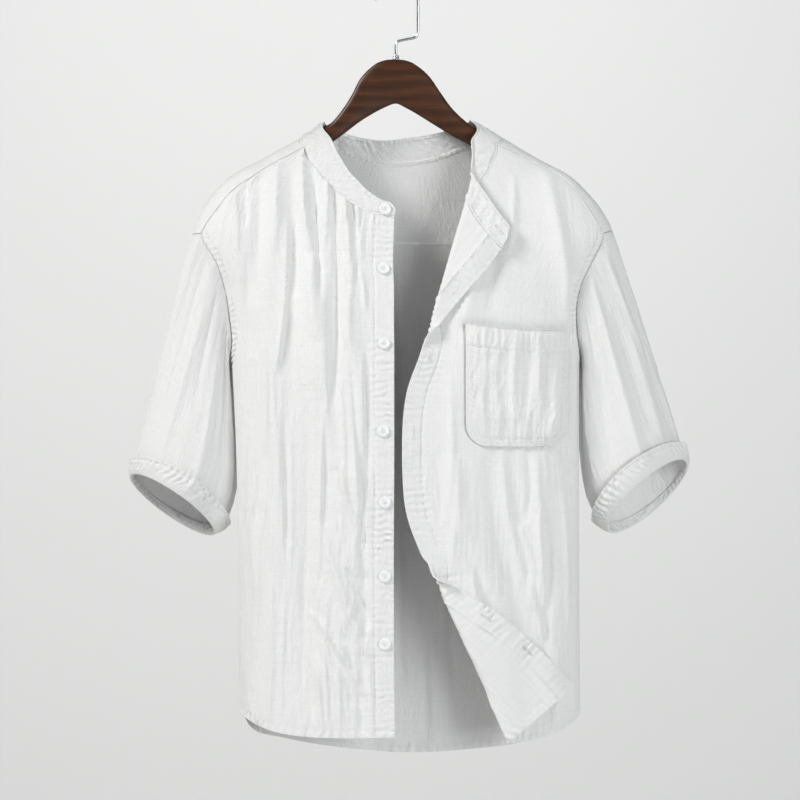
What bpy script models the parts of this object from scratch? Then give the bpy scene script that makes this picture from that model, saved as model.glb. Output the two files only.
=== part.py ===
# A band collar shirt with turned-up half sleeves, hung open on a wooden hanger.
# X runs right as the shirt is seen, its front faces -Y, +Z is up, and the origin is
# the inside top of the wire hook. Sizes below are in millimetres; meshes are in metres.
#
# The body of the shirt is one soft, flattened tube. Every panel is a stretch of that
# tube, given by an angle round it (0 at the left side fold, 90 at the middle of the
# front, -90 at the middle of the back, 180 at the right side fold) and a height.
# Seams are short tables on the tube, and neighbouring pieces share them.

import math

import bmesh
import bpy
from mathutils import Vector

MM = 0.001
WALL = 1.5              # thickness of a cloth wall
SEAM_GAP = 0.3          # between neighbouring pieces
ROUNDNESS = 3.0         # exponent of the tube's section: 2 is an ellipse, more is squarer
STEP = 0.5              # for measuring slopes of the tube
ANGLE_STEP = 0.0025     # and the same round it, in radians

# the tube, from the shoulders down
OUTLINE_COLUMNS = ("height", "left", "right", "front depth", "back depth", "fold y")
OUTLINE = (
    (-170.0, -76.0, 78.0, 17.0, 15.0, 0.0),
    (-193.0, -108.5, 119.0, 21.0, 20.0, 0.0),
    (-219.8, -157.1, 164.0, 26.0, 24.0, 0.0),
    (-237.6, -189.5, 197.9, 28.0, 26.0, 0.0),
    (-256.8, -210.3, 219.0, 31.0, 28.0, 0.0),
    (-277.6, -225.0, 236.5, 34.0, 30.0, 0.0),
    (-307.0, -237.0, 250.0, 37.0, 32.0, 0.0),
    (-340.0, -227.0, 240.0, 40.0, 34.0, -1.0),
    (-371.0, -209.0, 225.0, 42.0, 35.0, -3.0),
    (-406.0, -198.0, 215.0, 43.0, 35.0, -6.0),
    (-455.0, -191.0, 211.0, 44.0, 35.0, -9.0),
    (-600.0, -184.4, 210.0, 45.0, 35.0, -11.0),
    (-850.0, -182.0, 211.0, 45.0, 36.0, -11.0),
    (-925.0, -181.0, 211.0, 45.0, 36.0, -11.0),
)

FOLD_SWELL = 0.6        # exponent: less, and a fold reaches its full height sooner
FOLD_FADE = 3           # exponent: more, and folds end sooner towards the side folds

# large soft folds: + heights stand out of the cloth, - heights sink in
FOLD_COLUMNS = ("side", "top x", "top z", "foot x", "foot z", "half width", "height")
FOLDS = (
    (1, -150, -300, -168, -900, 13, 4.5),
    (1, -118, -250, -128, -905, 12, -4.0),
    (1, -96, -330, -88, -920, 11, 4.0),
    (1, -70, -330, -104, -920, 12, -5.0),
    (1, -52, -300, -46, -700, 8, 3.0),
    (1, -34, -420, -40, -920, 7, -3.0),
    (1, 96, -300, 70, -560, 20, 3.0),
    (1, 158, -240, 186, -640, 15, 4.0),
    (1, 128, -520, 160, -930, 18, -5.0),
    (1, 196, -560, 186, -920, 12, 5.0),
    (1, 60, -560, 96, -760, 14, 3.5),
    (-1, -120, -350, -132, -930, 16, 5.0),
    (-1, -70, -330, -62, -930, 14, -4.5),
    (-1, -20, -345, -28, -930, 15, 5.0),
    (-1, 40, -330, 46, -930, 15, -4.5),
    (-1, 96, -345, 104, -930, 16, 5.0),
    (-1, 150, -350, 156, -930, 14, -4.0),
)

# seams and edges on the tube: x, z, and the side (1 front, -1 back); where the side is 0
# the first column is the angle in degrees
SEAM_COLUMNS = ("x", "z", "side")
NECK_LEFT = ((-3, -290, 1), (-28, -284.5, 1), (-46, -276, 1), (-64, -264.5, 1),
             (-82, -247, 1), (-96, -229, 1), (-106, -206, 1))
NECK_BACK = ((-108.5, -193, -1), (-94, -198, -1), (-70, -209, -1), (-40, -220, -1),
             (0, -225, -1), (42, -219, -1), (76, -207, -1), (104, -197, -1),
             (119, -193, -1))
NECK_RIGHT = ((10, -294.4, 1), (36, -288, 1), (60, -278, 1), (80, -265, 1),
              (97, -249, 1), (109, -228, 1), (116, -205, 1))
YOKE_FRONT_LEFT = ((-106, -206, 1), (-138, -222.5, 1), (-163, -237.6, 1),
                   (-189.5, -256, 1), (-207.3, -277, 1), (-226, -306, 1))
YOKE_FRONT_RIGHT = ((116, -205, 1), (147, -218, 1), (176, -231, 1),
                    (199, -247, 1), (217, -270, 1), (238, -306, 1))
YOKE_BACK = ((-229, -328, -1), (-120, -319, -1), (5, -315, -1),
             (132, -319, -1), (241, -324, -1))
ARMHOLE_FRONT_LEFT = ((-226, -306, 1), (-208, -340, 1), (-198, -371, 1),
                      (-192.5, -404, 1), (11, -432, 0), (2, -450, 0), (-9, -458, 0))
ARMHOLE_BACK_LEFT = ((-229, -328, -1), (-16, -368, 0), (-24, -405, 0), (-25, -432, 0),
                     (-18, -450, 0), (-9, -458, 0))
ARMHOLE_FRONT_RIGHT = ((238, -306, 1), (221, -346, 1), (208, -380, 1),
                       (206, -404, 1), (169, -432, 0), (178, -450, 0), (189, -458, 0))
ARMHOLE_BACK_RIGHT = ((241, -324, -1), (-164, -366, 0), (-156, -405, 0), (-155, -432, 0),
                      (-162, -450, 0), (-171, -458, 0))
EDGE_LEFT = ((-3, -290, 1), (-3, -480, 1), (-3.5, -690, 1), (-2.3, -884, 1))
EDGE_RIGHT = ((10, -294.4, 1), (12, -322, 1), (17.5, -358, 1), (25, -408, 1),
              (27.8, -439.6, 1), (11, -490, 1), (5.8, -545, 1), (9, -620, 1),
              (26, -672, 1), (36, -690, 1), (31, -725, 1), (20, -787, 1),
              (18, -850, 1), (24, -902, 1))
HEM_FRONT_LEFT = ((-2.3, -884, 1), (-55, -885, 1), (-102, -884, 1), (-140, -879, 1),
                  (-166, -869, 1), (10, -860, 0), (0, -855, 0), (-9, -852, 0))
HEM_FRONT_RIGHT = ((24, -902, 1), (70, -899, 1), (124, -891, 1), (160, -887, 1),
                   (188, -879, 1), (170, -864, 0), (180, -857, 0), (189, -854, 0))
HEM_BACK = ((-9, -852, 0), (-15, -870, 0), (-163, -884, -1), (-134, -892, -1),
            (-80, -902.5, -1), (9, -910.5, -1), (100, -905, -1), (160, -895, -1),
            (-164, -874, 0), (-171, -854, 0))
BAND_TOP_LEFT = ((-1.2, -280, 1), (-7, -272, 1), (-17, -269, 1), (-33, -258.4, 1),
                 (-51, -240, 1), (-67, -216, 1), (-78, -194, 1), (-83.8, -176.4, 1))
BAND_TOP_BACK = ((-83.8, -176.4, -1), (-72, -183, -1), (-48, -191.5, -1), (-16, -196, -1),
                 (14, -193, -1), (50, -187, -1), (72, -180, -1), (84, -173.6, -1))
BAND_TOP_RIGHT = ((84, -173.6, 1), (87, -196, 1), (86, -220, 1), (75, -241, 1),
                  (51, -254, 1), (29, -263, 1), (16, -268, 1), (11, -279, 1))

# stretches of the left front that are turned out, each about a straight crease
TURN_COLUMNS = ("foot x", "foot z", "head x", "head z", "side", "radius", "bend")
TURNS = (
    (29.5, -440.0, 88.2, -237.8, 1, 4.2, 24.0),
    (37.0, -687.9, 124.0, -887.4, -1, 3.8, 0.0),
)
TURN_BEND_START = 30.0    # before its head, where the lapel's crease leaves its line
TURN_BEND_LENGTH = 90.0
TURN_BEND_POWER = 1.8
TURN_GROW = 50.0          # over which a turn opens from nothing to fully over
TURN_EARLY = 8.0          # and how far before its foot it starts
TURN_TAPER = 90.0         # over which a crease grows from tight to its full radius
TURN_TIGHT = 3.0
TURN_LEAST = 0.05         # share of a turn that is open before it starts
ROLL_CLEAR = 1.3          # an edge this many times past its full turn has flat columns too
OPENING_X = 4.0           # the left front and its end of the band lie right of this
EDGE_PLAIN = 16.0         # width of the edge columns where nothing is turned

POCKET = {"left": 79.0, "right": 198.0, "top": -411.0, "foot": -552.0,
          "corner": 26.0, "wall": 1.2, "gap": 0.7, "sag": 2.5, "tilt": 6.0,
          "rows": 7, "columns": 12, "corner turns": (25, 50, 72, 90)}
BUTTON = {"diameter": 14.5, "thickness": 2.6, "rim": 0.6, "sides": 18}
BUTTONS = (("button_collar", -14.0, -279.5), ("button_1", -15.5, -347.8),
           ("button_2", -15.0, -433.8), ("button_3", -16.0, -534.2),
           ("button_4", -14.0, -615.5), ("button_5", -14.0, -700.0),
           ("button_6", -14.0, -777.2))

# sleeve ends: centre, half vector to the outer end, half vector to the front
CUFFS = {
    "left": ((-262.6, 24.0, -620.7), (-48.1, 0.0, 33.1), (9.8, -52.0, 14.3)),
    "right": ((293.5, 24.0, -610.7), (45.2, 0.0, 40.0), (-14.6, -52.0, 16.5)),
}
CUFF_HEIGHT = (36.0, -16.0)    # of a turned-up cuff; what the inner side adds
CUFF_TAPER = 3           # more, and it narrows closer to the inner side
CUFF_FLARE = 5.0         # how far its free edge stands off
# a sleeve's direction out and down as it leaves the shoulder, and what the underarm adds
SLEEVE_OUT = (0.36, 0.45)
SLEEVE_DOWN = (-0.93, 0.55)
SLEEVE_BACK = 0.9        # how far it leans back behind the underarm
SLEEVE_BACK_COLUMNS = 4  # over which it comes to lean
SLEEVE_LEAVE = (46.0, -0.55)   # its straight run out of the armhole; what the underarm adds
# its direction out and down as it arrives at its open end, and what the inner side adds
CUFF_OUT = (0.45, 0.4)
CUFF_DOWN = (-0.89, 0.36)
SLEEVE_ARRIVE = (70.0, 1.7)    # its straight run into the open end; what the inner side adds
UNDERARM_EASE = 1.0      # extra gap where body and sleeve fold together
ARMHOLE_CLEAR = 0.1      # extra gap where a sleeve starts square to the body's cloth
SLANT_LEAST = 0.4        # least share of a gap that a slanting start measures
SLEEVE_STEP = 0.004      # for measuring slopes down a sleeve, as a share of its length

# hanger: x, top, foot; under the shoulders its top follows the ridge
HANGER = (
    (-203.0, -257.0, -268.0), (-196.0, None, -266.0), (-170.0, None, -252.0),
    (-140.0, None, -235.0), (-110.0, None, -219.0), (-86.0, -182.5, -205.0),
    (-75.4, -176.5, -200.0), (-62.6, -160.8, -191.0), (-52.2, -144.4, -183.0),
    (-42.9, -126.4, -176.0), (-26.7, -110.2, -166.0), (-14.0, -104.6, -159.5),
    (-1.2, -103.8, -155.1), (10.0, -104.8, -160.0), (21.0, -109.4, -166.0),
    (37.1, -123.0, -176.0), (49.9, -141.2, -184.0), (62.6, -158.9, -192.0),
    (76.0, -172.5, -199.0), (89.0, -182.0, -206.0), (114.0, None, -217.0),
    (142.0, None, -231.0), (172.0, None, -247.0), (200.0, None, -265.0),
    (208.0, -257.0, -268.0),
)
HANGER_HALF_THICKNESS = 6.5
HANGER_UNDER_RIDGE = 1.9  # from the cloth's middle down to the wood
HANGER_SIDES = 14
HANGER_TOP = -103.8
HALVINGS = 30             # of the search for the ridge's height
HOOK_WIRE = 3.2
HOOK_STEM_X = -1.2
HOOK_SIDE_X = 24.4
# the wire's crank: x from the stem and z, then x from the side it rises on and z
HOOK_CRANK_START = ((0, -88), (1.2, -84), (5, -82))
HOOK_CRANK_END = ((-6, -79), (-1.5, -76.5), (0, -72), (0, -48))
HOOK_RADIUS = 24.6
HOOK_BEND_STEPS = 16
HOOK_END = 12.0           # straight length after the bend
FERRULE_RADIUS = 4.0
FERRULE_TAPER = 0.8
FERRULE_HEIGHT = 4.6
FERRULE_SIDES = 16

# steps along the seams, and down the pieces
NECK_STEPS = 8
FLAT_STEPS = 4
ROLL_STEPS = 4
NECK_REST_STEPS = 4
RIDGE_STEPS = 3
CORNER_STEPS = 5
BACK_STEPS = 20
YOKE_STEPS = 7
ARM_STEPS = 7
SIDE_STEPS = 20
BAND_ROWS = 3
SLEEVE_ROWS = 12
CUFF_ROWS = 3
DENSE = 90                # along a seam before its columns are set to a crease
SEAM_FINE = 12            # between two places of a seam's table
FRONT_HASTE = 3           # more, and the rows of a front straighten sooner below its neck
SHOULDER_LEFT = -307.0    # heights of the two shoulder points on the side folds
SHOULDER_RIGHT = -300.0

COLORS = {
    "cloth": ((0.86, 0.86, 0.85, 1.0), 0.85, 0.0),
    "button": ((0.90, 0.90, 0.89, 1.0), 0.35, 0.0),
    "wood": ((0.16, 0.055, 0.025, 1.0), 0.35, 0.0),
    "metal": ((0.55, 0.56, 0.58, 1.0), 0.28, 1.0),
}


def clear_scene():
    for item in list(bpy.data.objects):
        bpy.data.objects.remove(item)


def read_table(table, key):
    """All columns of a table at a key, by a smooth curve through its rows."""
    rows = sorted(table, key=lambda row: row[0])
    key = min(max(key, rows[0][0]), rows[-1][0])
    last = len(rows) - 1
    index = next(i for i in range(last) if key <= rows[i + 1][0])
    low, high = rows[index], rows[index + 1]
    span = high[0] - low[0]
    part = (key - low[0]) / span
    values = []
    for column in range(1, len(low)):
        slopes = []
        for place in (index, index + 1):
            before, after = rows[max(place - 1, 0)], rows[min(place + 1, last)]
            slopes.append((after[column] - before[column]) / (after[0] - before[0]))
        values.append(hermite(low[column], high[column], slopes[0] * span, slopes[1] * span, part))
    return values


def hermite(start, end, start_slope, end_slope, part):
    square = part * part
    cube = square * part
    return (start * (2 * cube - 3 * square + 1) + start_slope * (cube - 2 * square + part)
            + end * (3 * square - 2 * cube) + end_slope * (cube - square))


def fold_height(side, x, z):
    """Sum of the soft folds of one side at a place."""
    total = 0.0
    for fold_side, top_x, top_z, foot_x, foot_z, half_width, height in FOLDS:
        if fold_side != side:
            continue
        part = (top_z - z) / (top_z - foot_z)
        if 0.0 < part < 1.0:
            away = (x - (top_x + (foot_x - top_x) * part)) / half_width
            total += height * math.sin(math.pi * part) ** FOLD_SWELL * math.exp(-away * away)
    return total


def tube_point(angle, z):
    """A point in the middle of the cloth: angle in radians, height in mm."""
    left, right, front_depth, back_depth, fold_y = read_table(OUTLINE, z)
    x = (left + right) / 2 - (right - left) / 2 * math.cos(angle)
    side = 1 if math.sin(angle) >= 0 else -1
    depth = front_depth if side > 0 else back_depth
    bulge = math.sqrt(max(0.0, 1 - abs(math.cos(angle)) ** ROUNDNESS))
    depth = depth * bulge + fold_height(side, x, z) * bulge ** FOLD_FADE
    return Vector((x, fold_y - side * depth, z))


def tube_frame(angle, z):
    """The tube's point there and its outward normal."""
    along = tube_point(angle + ANGLE_STEP, z) - tube_point(angle - ANGLE_STEP, z)
    down = tube_point(angle, z - STEP) - tube_point(angle, z + STEP)
    return tube_point(angle, z), down.cross(along).normalized()


def angle_at(x, z, side):
    left, right = read_table(OUTLINE, z)[:2]
    cosine = ((left + right) / 2 - x) / ((right - left) / 2)
    return side * math.acos(min(1.0, max(-1.0, cosine)))


def turn_at(x, z):
    """How far a point lies past a crease's start, with all that placing it needs."""
    best = None
    for foot_x, foot_z, head_x, head_z, side, radius, bend in TURNS:
        foot = Vector((foot_x, foot_z))
        line = Vector((head_x - foot_x, head_z - foot_z))
        length = line.length
        line.normalize()
        across = Vector((-line.y, line.x)) * side
        offset = Vector((x, z)) - foot
        along, beyond = offset.dot(line), offset.dot(across)
        radius = max(TURN_TIGHT, radius * min(1.0, along / TURN_TAPER))
        crease = -radius
        if along < 0:
            crease -= along
        elif bend and along > length - TURN_BEND_START:
            bent = (along - length + TURN_BEND_START) / TURN_BEND_LENGTH
            crease += bend * bent ** TURN_BEND_POWER
        past = beyond - crease
        if x > OPENING_X and (best is None or past > best[0]):
            best = (past, radius, foot, line, across, along, crease)
    return best


def full_turn(along):
    """The angle to which a turn has opened, so far along its crease."""
    opened = min(1.0, max(TURN_LEAST, (along + TURN_EARLY) / TURN_GROW))
    return math.pi * opened * opened * (3 - 2 * opened)


def turn_out(x, z):
    """Where a point of the left front lies once turned: new x, z, lift, angle, crease."""
    turn = turn_at(x, z)
    if turn is None or turn[0] <= 0:
        return x, z, 0.0, 0.0, None
    past, radius, foot, line, across, along, crease = turn
    full = full_turn(along)
    angle = min(past / radius, full)
    beyond = max(0.0, past - full * radius)
    reach = crease + radius * math.sin(angle) + beyond * math.cos(full)
    lift = radius * (1 - math.cos(angle)) + beyond * math.sin(full)
    place = foot + line * along + across * reach
    return place.x, place.y, lift, angle, across


def crease_columns(dense):
    """Positions of the columns at the free edge of a dense row, set to its crease."""
    turns, reaches = [], []
    reach = 0.0
    before = None
    for angle, z in dense:
        point = tube_point(angle, z)
        if before is not None:
            reach += (point - before).length
        turn = turn_at(point.x, z)
        turns.append(turn[0] / turn[1] if turn else -reach)
        reaches.append(-reach)
        before = point
    start = tube_point(*dense[0])
    first = turn_at(start.x, start.z)
    full = full_turn(first[5])
    steps = FLAT_STEPS + ROLL_STEPS
    if turns[0] < 1.0:
        keys = reaches
        goals = [-EDGE_PLAIN * step / steps for step in range(steps + 1)]
    elif turns[0] > full * ROLL_CLEAR:
        keys = turns
        goals = [turns[0] + (full - turns[0]) * step / FLAT_STEPS for step in range(FLAT_STEPS)]
        goals += [full * (1 - step / ROLL_STEPS) for step in range(ROLL_STEPS + 1)]
    else:
        keys = turns
        goals = [turns[0] * (1 - step / steps) for step in range(steps + 1)]
    positions = []
    index = 0
    for goal in goals:
        while index < len(keys) - 2 and keys[index + 1] > goal:
            index += 1
        part = (keys[index] - goal) / (keys[index] - keys[index + 1])
        positions.append(index + min(1.0, max(0.0, part)))
    return positions


def place_between(dense, position):
    index = min(int(position), len(dense) - 2)
    part = position - index
    return tuple(dense[index][k] + (dense[index + 1][k] - dense[index][k]) * part
                 for k in (0, 1))


def creased_row(dense, rest_fractions):
    """Columns along a dense row: the turned edge first, then the rest of the panel."""
    positions = crease_columns(dense)
    start, last = positions[-1], len(dense) - 1
    positions += [start + (last - start) * part for part in rest_fractions]
    return [place_between(dense, position) for position in positions]


def cloth_place(angle, z, height, turned=False):
    """A point of the shirt, a height out of the middle of the cloth."""
    point, normal = tube_frame(angle, z)
    if turned and math.sin(angle) > 0:
        new_x, new_z, lift, turn, across = turn_out(point.x, z)
        if across is not None:
            point, normal = tube_frame(angle_at(new_x, new_z, 1), new_z)
            outward = Vector((across.x, 0.0, across.y))
            outward = (outward - normal * outward.dot(normal)).normalized()
            point = point + normal * lift
            normal = normal * math.cos(turn) - outward * math.sin(turn)
    return point + normal * height


def seam(table, count):
    """A seam as count + 1 places (angle, z) along a smooth curve through its table."""
    places = []
    for x, z, side in table:
        angle = angle_at(x, z, side) if side else math.radians(x)
        while places and angle - places[-1][0] > math.pi:
            angle -= 2 * math.pi
        while places and angle - places[-1][0] < -math.pi:
            angle += 2 * math.pi
        places.append((angle, z))
    return resample(places, count)


def resample(places, count):
    """Even steps along a smooth curve through the places."""
    fine = []
    last = len(places) - 1
    for index in range(last):
        before, start = places[max(index - 1, 0)], places[index]
        end, after = places[index + 1], places[min(index + 2, last)]
        for step in range(SEAM_FINE):
            part = step / SEAM_FINE
            fine.append(tuple(hermite(start[k], end[k], (end[k] - before[k]) / 2,
                                      (after[k] - start[k]) / 2, part) for k in (0, 1)))
    fine.append(places[-1])
    lengths = [0.0]
    for low, high in zip(fine, fine[1:]):
        step = tube_point(*high) - tube_point(*low)
        lengths.append(lengths[-1] + step.length)
    result = []
    index = 0
    for step in range(count + 1):
        goal = lengths[-1] * step / count
        while index < len(fine) - 2 and lengths[index + 1] < goal:
            index += 1
        span = lengths[index + 1] - lengths[index]
        part = min(1.0, (goal - lengths[index]) / span) if span else 0.0
        result.append(tuple(fine[index][k] + (fine[index + 1][k] - fine[index][k]) * part
                            for k in (0, 1)))
    return result


def straight(start, end, count):
    return [tuple(start[k] + (end[k] - start[k]) * step / count for k in (0, 1))
            for step in range(count + 1)]


def coons(top, foot, first, last, haste=1):
    """Rows of places between four edges; first and last run from top to foot.

    With more haste the rows lose the shape of the top edge sooner.
    """
    rows = []
    down_count, across_count = len(first) - 1, len(top) - 1
    for down in range(down_count + 1):
        v = 1 - (1 - down / down_count) ** haste
        row = []
        for across in range(across_count + 1):
            u = across / across_count
            row.append(tuple(
                (1 - v) * top[across][k] + v * foot[across][k]
                + (1 - u) * first[down][k] + u * last[down][k]
                - (1 - u) * (1 - v) * top[0][k] - u * (1 - v) * top[-1][k]
                - (1 - u) * v * foot[0][k] - u * v * foot[-1][k] for k in (0, 1)))
        rows.append(row)
    return rows


def material(name):
    color, roughness, metallic = COLORS[name]
    found = bpy.data.materials.get(name)
    if found:
        return found
    made = bpy.data.materials.new(name)
    made.use_nodes = True
    shader = made.node_tree.nodes["Principled BSDF"]
    shader.inputs["Base Color"].default_value = color
    shader.inputs["Roughness"].default_value = roughness
    shader.inputs["Metallic"].default_value = metallic
    made.diffuse_color = color
    return made


def finish_object(name, mesh_data, slot):
    """Turn a bmesh of millimetres into a named object of metres."""
    for vertex in mesh_data.verts:
        vertex.co *= MM
    bmesh.ops.recalc_face_normals(mesh_data, faces=mesh_data.faces)
    mesh = bpy.data.meshes.new(name)
    mesh_data.to_mesh(mesh)
    mesh_data.free()
    mesh.shade_smooth()
    mesh.set_sharp_from_angle(angle=math.radians(40))
    mesh.materials.append(material(slot))
    made = bpy.data.objects.new(name, mesh)
    bpy.context.collection.objects.link(made)
    return made


def inset_rows(grid, amount, ring):
    """Draw the open edges of a grid of points in, square to the edge."""
    last = len(grid) - 1
    for edge, inner in ((0, 1), (last, last - 1)):
        line = list(grid[edge])
        for column, point in enumerate(line):
            along = line[min(column + 1, len(line) - 1)] - line[max(column - 1, 0)]
            grid[edge][column] = drawn_in(point, grid[inner][column], along, amount)
    if not ring:
        for edge, inner in ((0, 1), (-1, -2)):
            line = [row[edge] for row in grid]
            for down, point in enumerate(line):
                along = line[min(down + 1, last)] - line[max(down - 1, 0)]
                grid[down][edge] = drawn_in(point, grid[down][inner], along, amount)
    return grid


def drawn_in(point, inner, along, amount):
    step = inner - point
    along = along.normalized()
    step = step - along * step.dot(along)
    return point + step.normalized() * amount


def two_triangles(grid, corners):
    """A four-sided cell of a grid as two triangles, parted along its shorter diagonal."""
    a, b, c, d = corners
    points = [grid[row][column] for row, column in corners]
    if (points[2] - points[0]).length < (points[3] - points[1]).length:
        return (a, b, c), (a, c, d)
    return (a, b, d), (b, c, d)


def wall_from_grids(name, outer, inner, slot="cloth", ring=False):
    """A closed wall between two grids of points with the same layout."""
    mesh_data = bmesh.new()
    layers = [[[mesh_data.verts.new(point) for point in row] for row in grid]
              for grid in (outer, inner)]
    rows, columns = len(outer), len(outer[0])
    turns = columns if ring else columns - 1
    front, back = layers
    for down in range(rows - 1):
        for across in range(turns):
            beside = (across + 1) % columns
            corners = ((down, across), (down, beside), (down + 1, beside), (down + 1, across))
            for triangle in two_triangles(outer, corners):
                for layer in layers:
                    mesh_data.faces.new([layer[row][column] for row, column in triangle])
    for down in (0, rows - 1):
        for across in range(turns):
            beside = (across + 1) % columns
            mesh_data.faces.new((front[down][across], front[down][beside],
                                 back[down][beside], back[down][across]))
    if not ring:
        for across in (0, columns - 1):
            for down in range(rows - 1):
                mesh_data.faces.new((front[down][across], front[down + 1][across],
                                     back[down + 1][across], back[down][across]))
    return finish_object(name, mesh_data, slot)


def panel(name, places, turned=False, low=-WALL / 2, high=WALL / 2, edge=SEAM_GAP / 2):
    """A wall over a grid of places, between two heights out of the cloth's middle."""
    grids = []
    for height in (high, low):
        grid = [[cloth_place(angle, z, height, turned) for angle, z in row] for row in places]
        grids.append(inset_rows(grid, edge, False))
    return wall_from_grids(name, grids[0], grids[1])


def build_seams():
    """Places shared by the pieces that meet along each seam."""
    turn = -2 * math.pi
    ridge_left = [(0.0, NECK_BACK[0][1]), (0.0, SHOULDER_LEFT)]
    ridge_right = [(-math.pi, NECK_BACK[-1][1]), (-math.pi, SHOULDER_RIGHT)]
    seams = {
        "neck left": seam(NECK_LEFT, NECK_STEPS),
        "neck right": creased_row(seam(NECK_RIGHT, DENSE), even(NECK_REST_STEPS)),
        "neck back": seam(NECK_BACK, BACK_STEPS + 2 * CORNER_STEPS),
        "yoke front left": seam(YOKE_FRONT_LEFT, YOKE_STEPS),
        "yoke front right": seam(YOKE_FRONT_RIGHT, YOKE_STEPS),
        "yoke back": seam(YOKE_BACK, BACK_STEPS),
        "arm front left": seam(ARMHOLE_FRONT_LEFT, ARM_STEPS),
        "arm front right": seam(ARMHOLE_FRONT_RIGHT, ARM_STEPS),
        "arm back left": seam(ARMHOLE_BACK_LEFT, ARM_STEPS),
        "arm back right": seam(ARMHOLE_BACK_RIGHT, ARM_STEPS),
        "ridge left": straight(ridge_left[0], ridge_left[1], YOKE_STEPS),
        "ridge right": straight(ridge_right[0], ridge_right[1], YOKE_STEPS),
    }
    for side, start in (("left", 0.0), ("right", turn)):
        ridge = seams["ridge " + side]
        neck_corner = shifted(seams["neck " + side], start)[-1]
        arm_corner = shifted(seams["arm front " + side], start)[0]
        seams["neck ridge " + side] = straight(neck_corner, ridge[0], RIDGE_STEPS)
        seams["arm ridge " + side] = straight(arm_corner, ridge[-1], RIDGE_STEPS)
    seams["arm yoke left"] = straight(seams["ridge left"][-1], seams["yoke back"][0], CORNER_STEPS)
    seams["arm yoke right"] = straight(seams["yoke back"][-1], seams["ridge right"][-1],
                                       CORNER_STEPS)
    return seams


def shifted(places, turn):
    return [(angle + turn, z) for angle, z in places]


def joined(*stretches):
    """Stretches end to end, with the places where they meet kept once."""
    places = list(stretches[0])
    for stretch in stretches[1:]:
        places += stretch[1:]
    return places


def even(count):
    """Fractions of even steps after the first place."""
    return [(step + 1) / count for step in range(count)]


def build_front_right(seams):
    top = joined(seams["neck left"], seams["yoke front left"])
    hem = seam(HEM_FRONT_LEFT, len(top) - 1)
    side_seam = straight(seams["arm front left"][-1], hem[-1], SIDE_STEPS)
    return coons(top, hem, seam(EDGE_LEFT, ARM_STEPS + SIDE_STEPS),
                 joined(seams["arm front left"], side_seam), haste=FRONT_HASTE)


def build_front_left(seams):
    """Rows worked out finely first, then given columns that follow the creases."""
    top = joined(seam(NECK_RIGHT, DENSE), seam(YOKE_FRONT_RIGHT, DENSE))
    hem = seam(HEM_FRONT_RIGHT, len(top) - 1)
    side_seam = straight(seams["arm front right"][-1], hem[-1], SIDE_STEPS)
    dense_rows = coons(top, hem, seam(EDGE_RIGHT, ARM_STEPS + SIDE_STEPS),
                       joined(seams["arm front right"], side_seam), haste=FRONT_HASTE)
    first = joined(seams["neck right"], seams["yoke front right"])
    start = crease_columns(seam(NECK_RIGHT, DENSE))[-1] / DENSE
    count = NECK_REST_STEPS + YOKE_STEPS
    neck_share = (1 - start) / (2 - start)
    first_parts = [neck_share * part for part in even(NECK_REST_STEPS)]
    first_parts += [neck_share + (1 - neck_share) * part for part in even(YOKE_STEPS)]
    rows = [first]
    for index, dense in enumerate(dense_rows[1:]):
        down = min(1.0, (index + 1) / ARM_STEPS)
        parts = [old + (new - old) * down for old, new in zip(first_parts, even(count))]
        rows.append(creased_row(dense, parts))
    return rows


def build_back(seams):
    top = seams["yoke back"]
    hem = seam(HEM_BACK, len(top) - 1)
    sides = [joined(seams["arm back " + side],
                    straight(seams["arm back " + side][-1], hem[end], SIDE_STEPS))
             for side, end in (("left", 0), ("right", -1))]
    return coons(top, hem, sides[0], sides[1])


def build_yoke(seams):
    neck = seams["neck back"]
    low, high = CORNER_STEPS, CORNER_STEPS + BACK_STEPS
    yoke = seams["yoke back"]
    corner_left = straight(neck[low], yoke[0], YOKE_STEPS)
    corner_right = straight(neck[high], yoke[-1], YOKE_STEPS)
    front_right = shifted(seams["yoke front right"], -2 * math.pi)
    patches = (
        coons(seams["neck ridge left"], seams["arm ridge left"],
              seams["yoke front left"], seams["ridge left"]),
        coons(neck[:low + 1], seams["arm yoke left"], seams["ridge left"], corner_left),
        coons(neck[low:high + 1], yoke, corner_left, corner_right),
        coons(neck[high:], seams["arm yoke right"], corner_right, seams["ridge right"]),
        coons(seams["neck ridge right"][::-1], seams["arm ridge right"][::-1],
              seams["ridge right"], front_right),
    )
    return [joined(*(patch[row] for patch in patches)) for row in range(YOKE_STEPS + 1)]


def build_band_right(seams):
    """The band over the left front, from its free end to the shoulder ridge."""
    ridge = [(angle + 2 * math.pi, z) for angle, z in seams["neck ridge right"]]
    foot = joined(seam(NECK_RIGHT, DENSE), straight(ridge[0], ridge[-1], DENSE // 4))
    top = seam(BAND_TOP_RIGHT[::-1], len(foot) - 1)
    dense_rows = coons(top, foot, straight(top[0], foot[0], BAND_ROWS),
                       straight(top[-1], foot[-1], BAND_ROWS))
    count = NECK_REST_STEPS + RIDGE_STEPS
    rows = [creased_row(dense, even(count)) for dense in dense_rows[:-1]]
    rows.append(joined(seams["neck right"], ridge))
    return rows


def build_band(seams):
    """The collar band, from its right end round the back of the neck to its left end."""
    foot = joined(seams["neck left"], seams["neck ridge left"], seams["neck back"])
    left_count = NECK_STEPS + RIDGE_STEPS
    top = joined(seam(BAND_TOP_LEFT, left_count),
                 seam(BAND_TOP_BACK, BACK_STEPS + 2 * CORNER_STEPS))
    rows = coons(top, foot, straight(top[0], foot[0], BAND_ROWS),
                 straight(top[-1], foot[-1], BAND_ROWS))
    right_rows = build_band_right(seams)
    return [joined(row, shifted(right[::-1], -2 * math.pi))
            for row, right in zip(rows, right_rows)]


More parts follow.
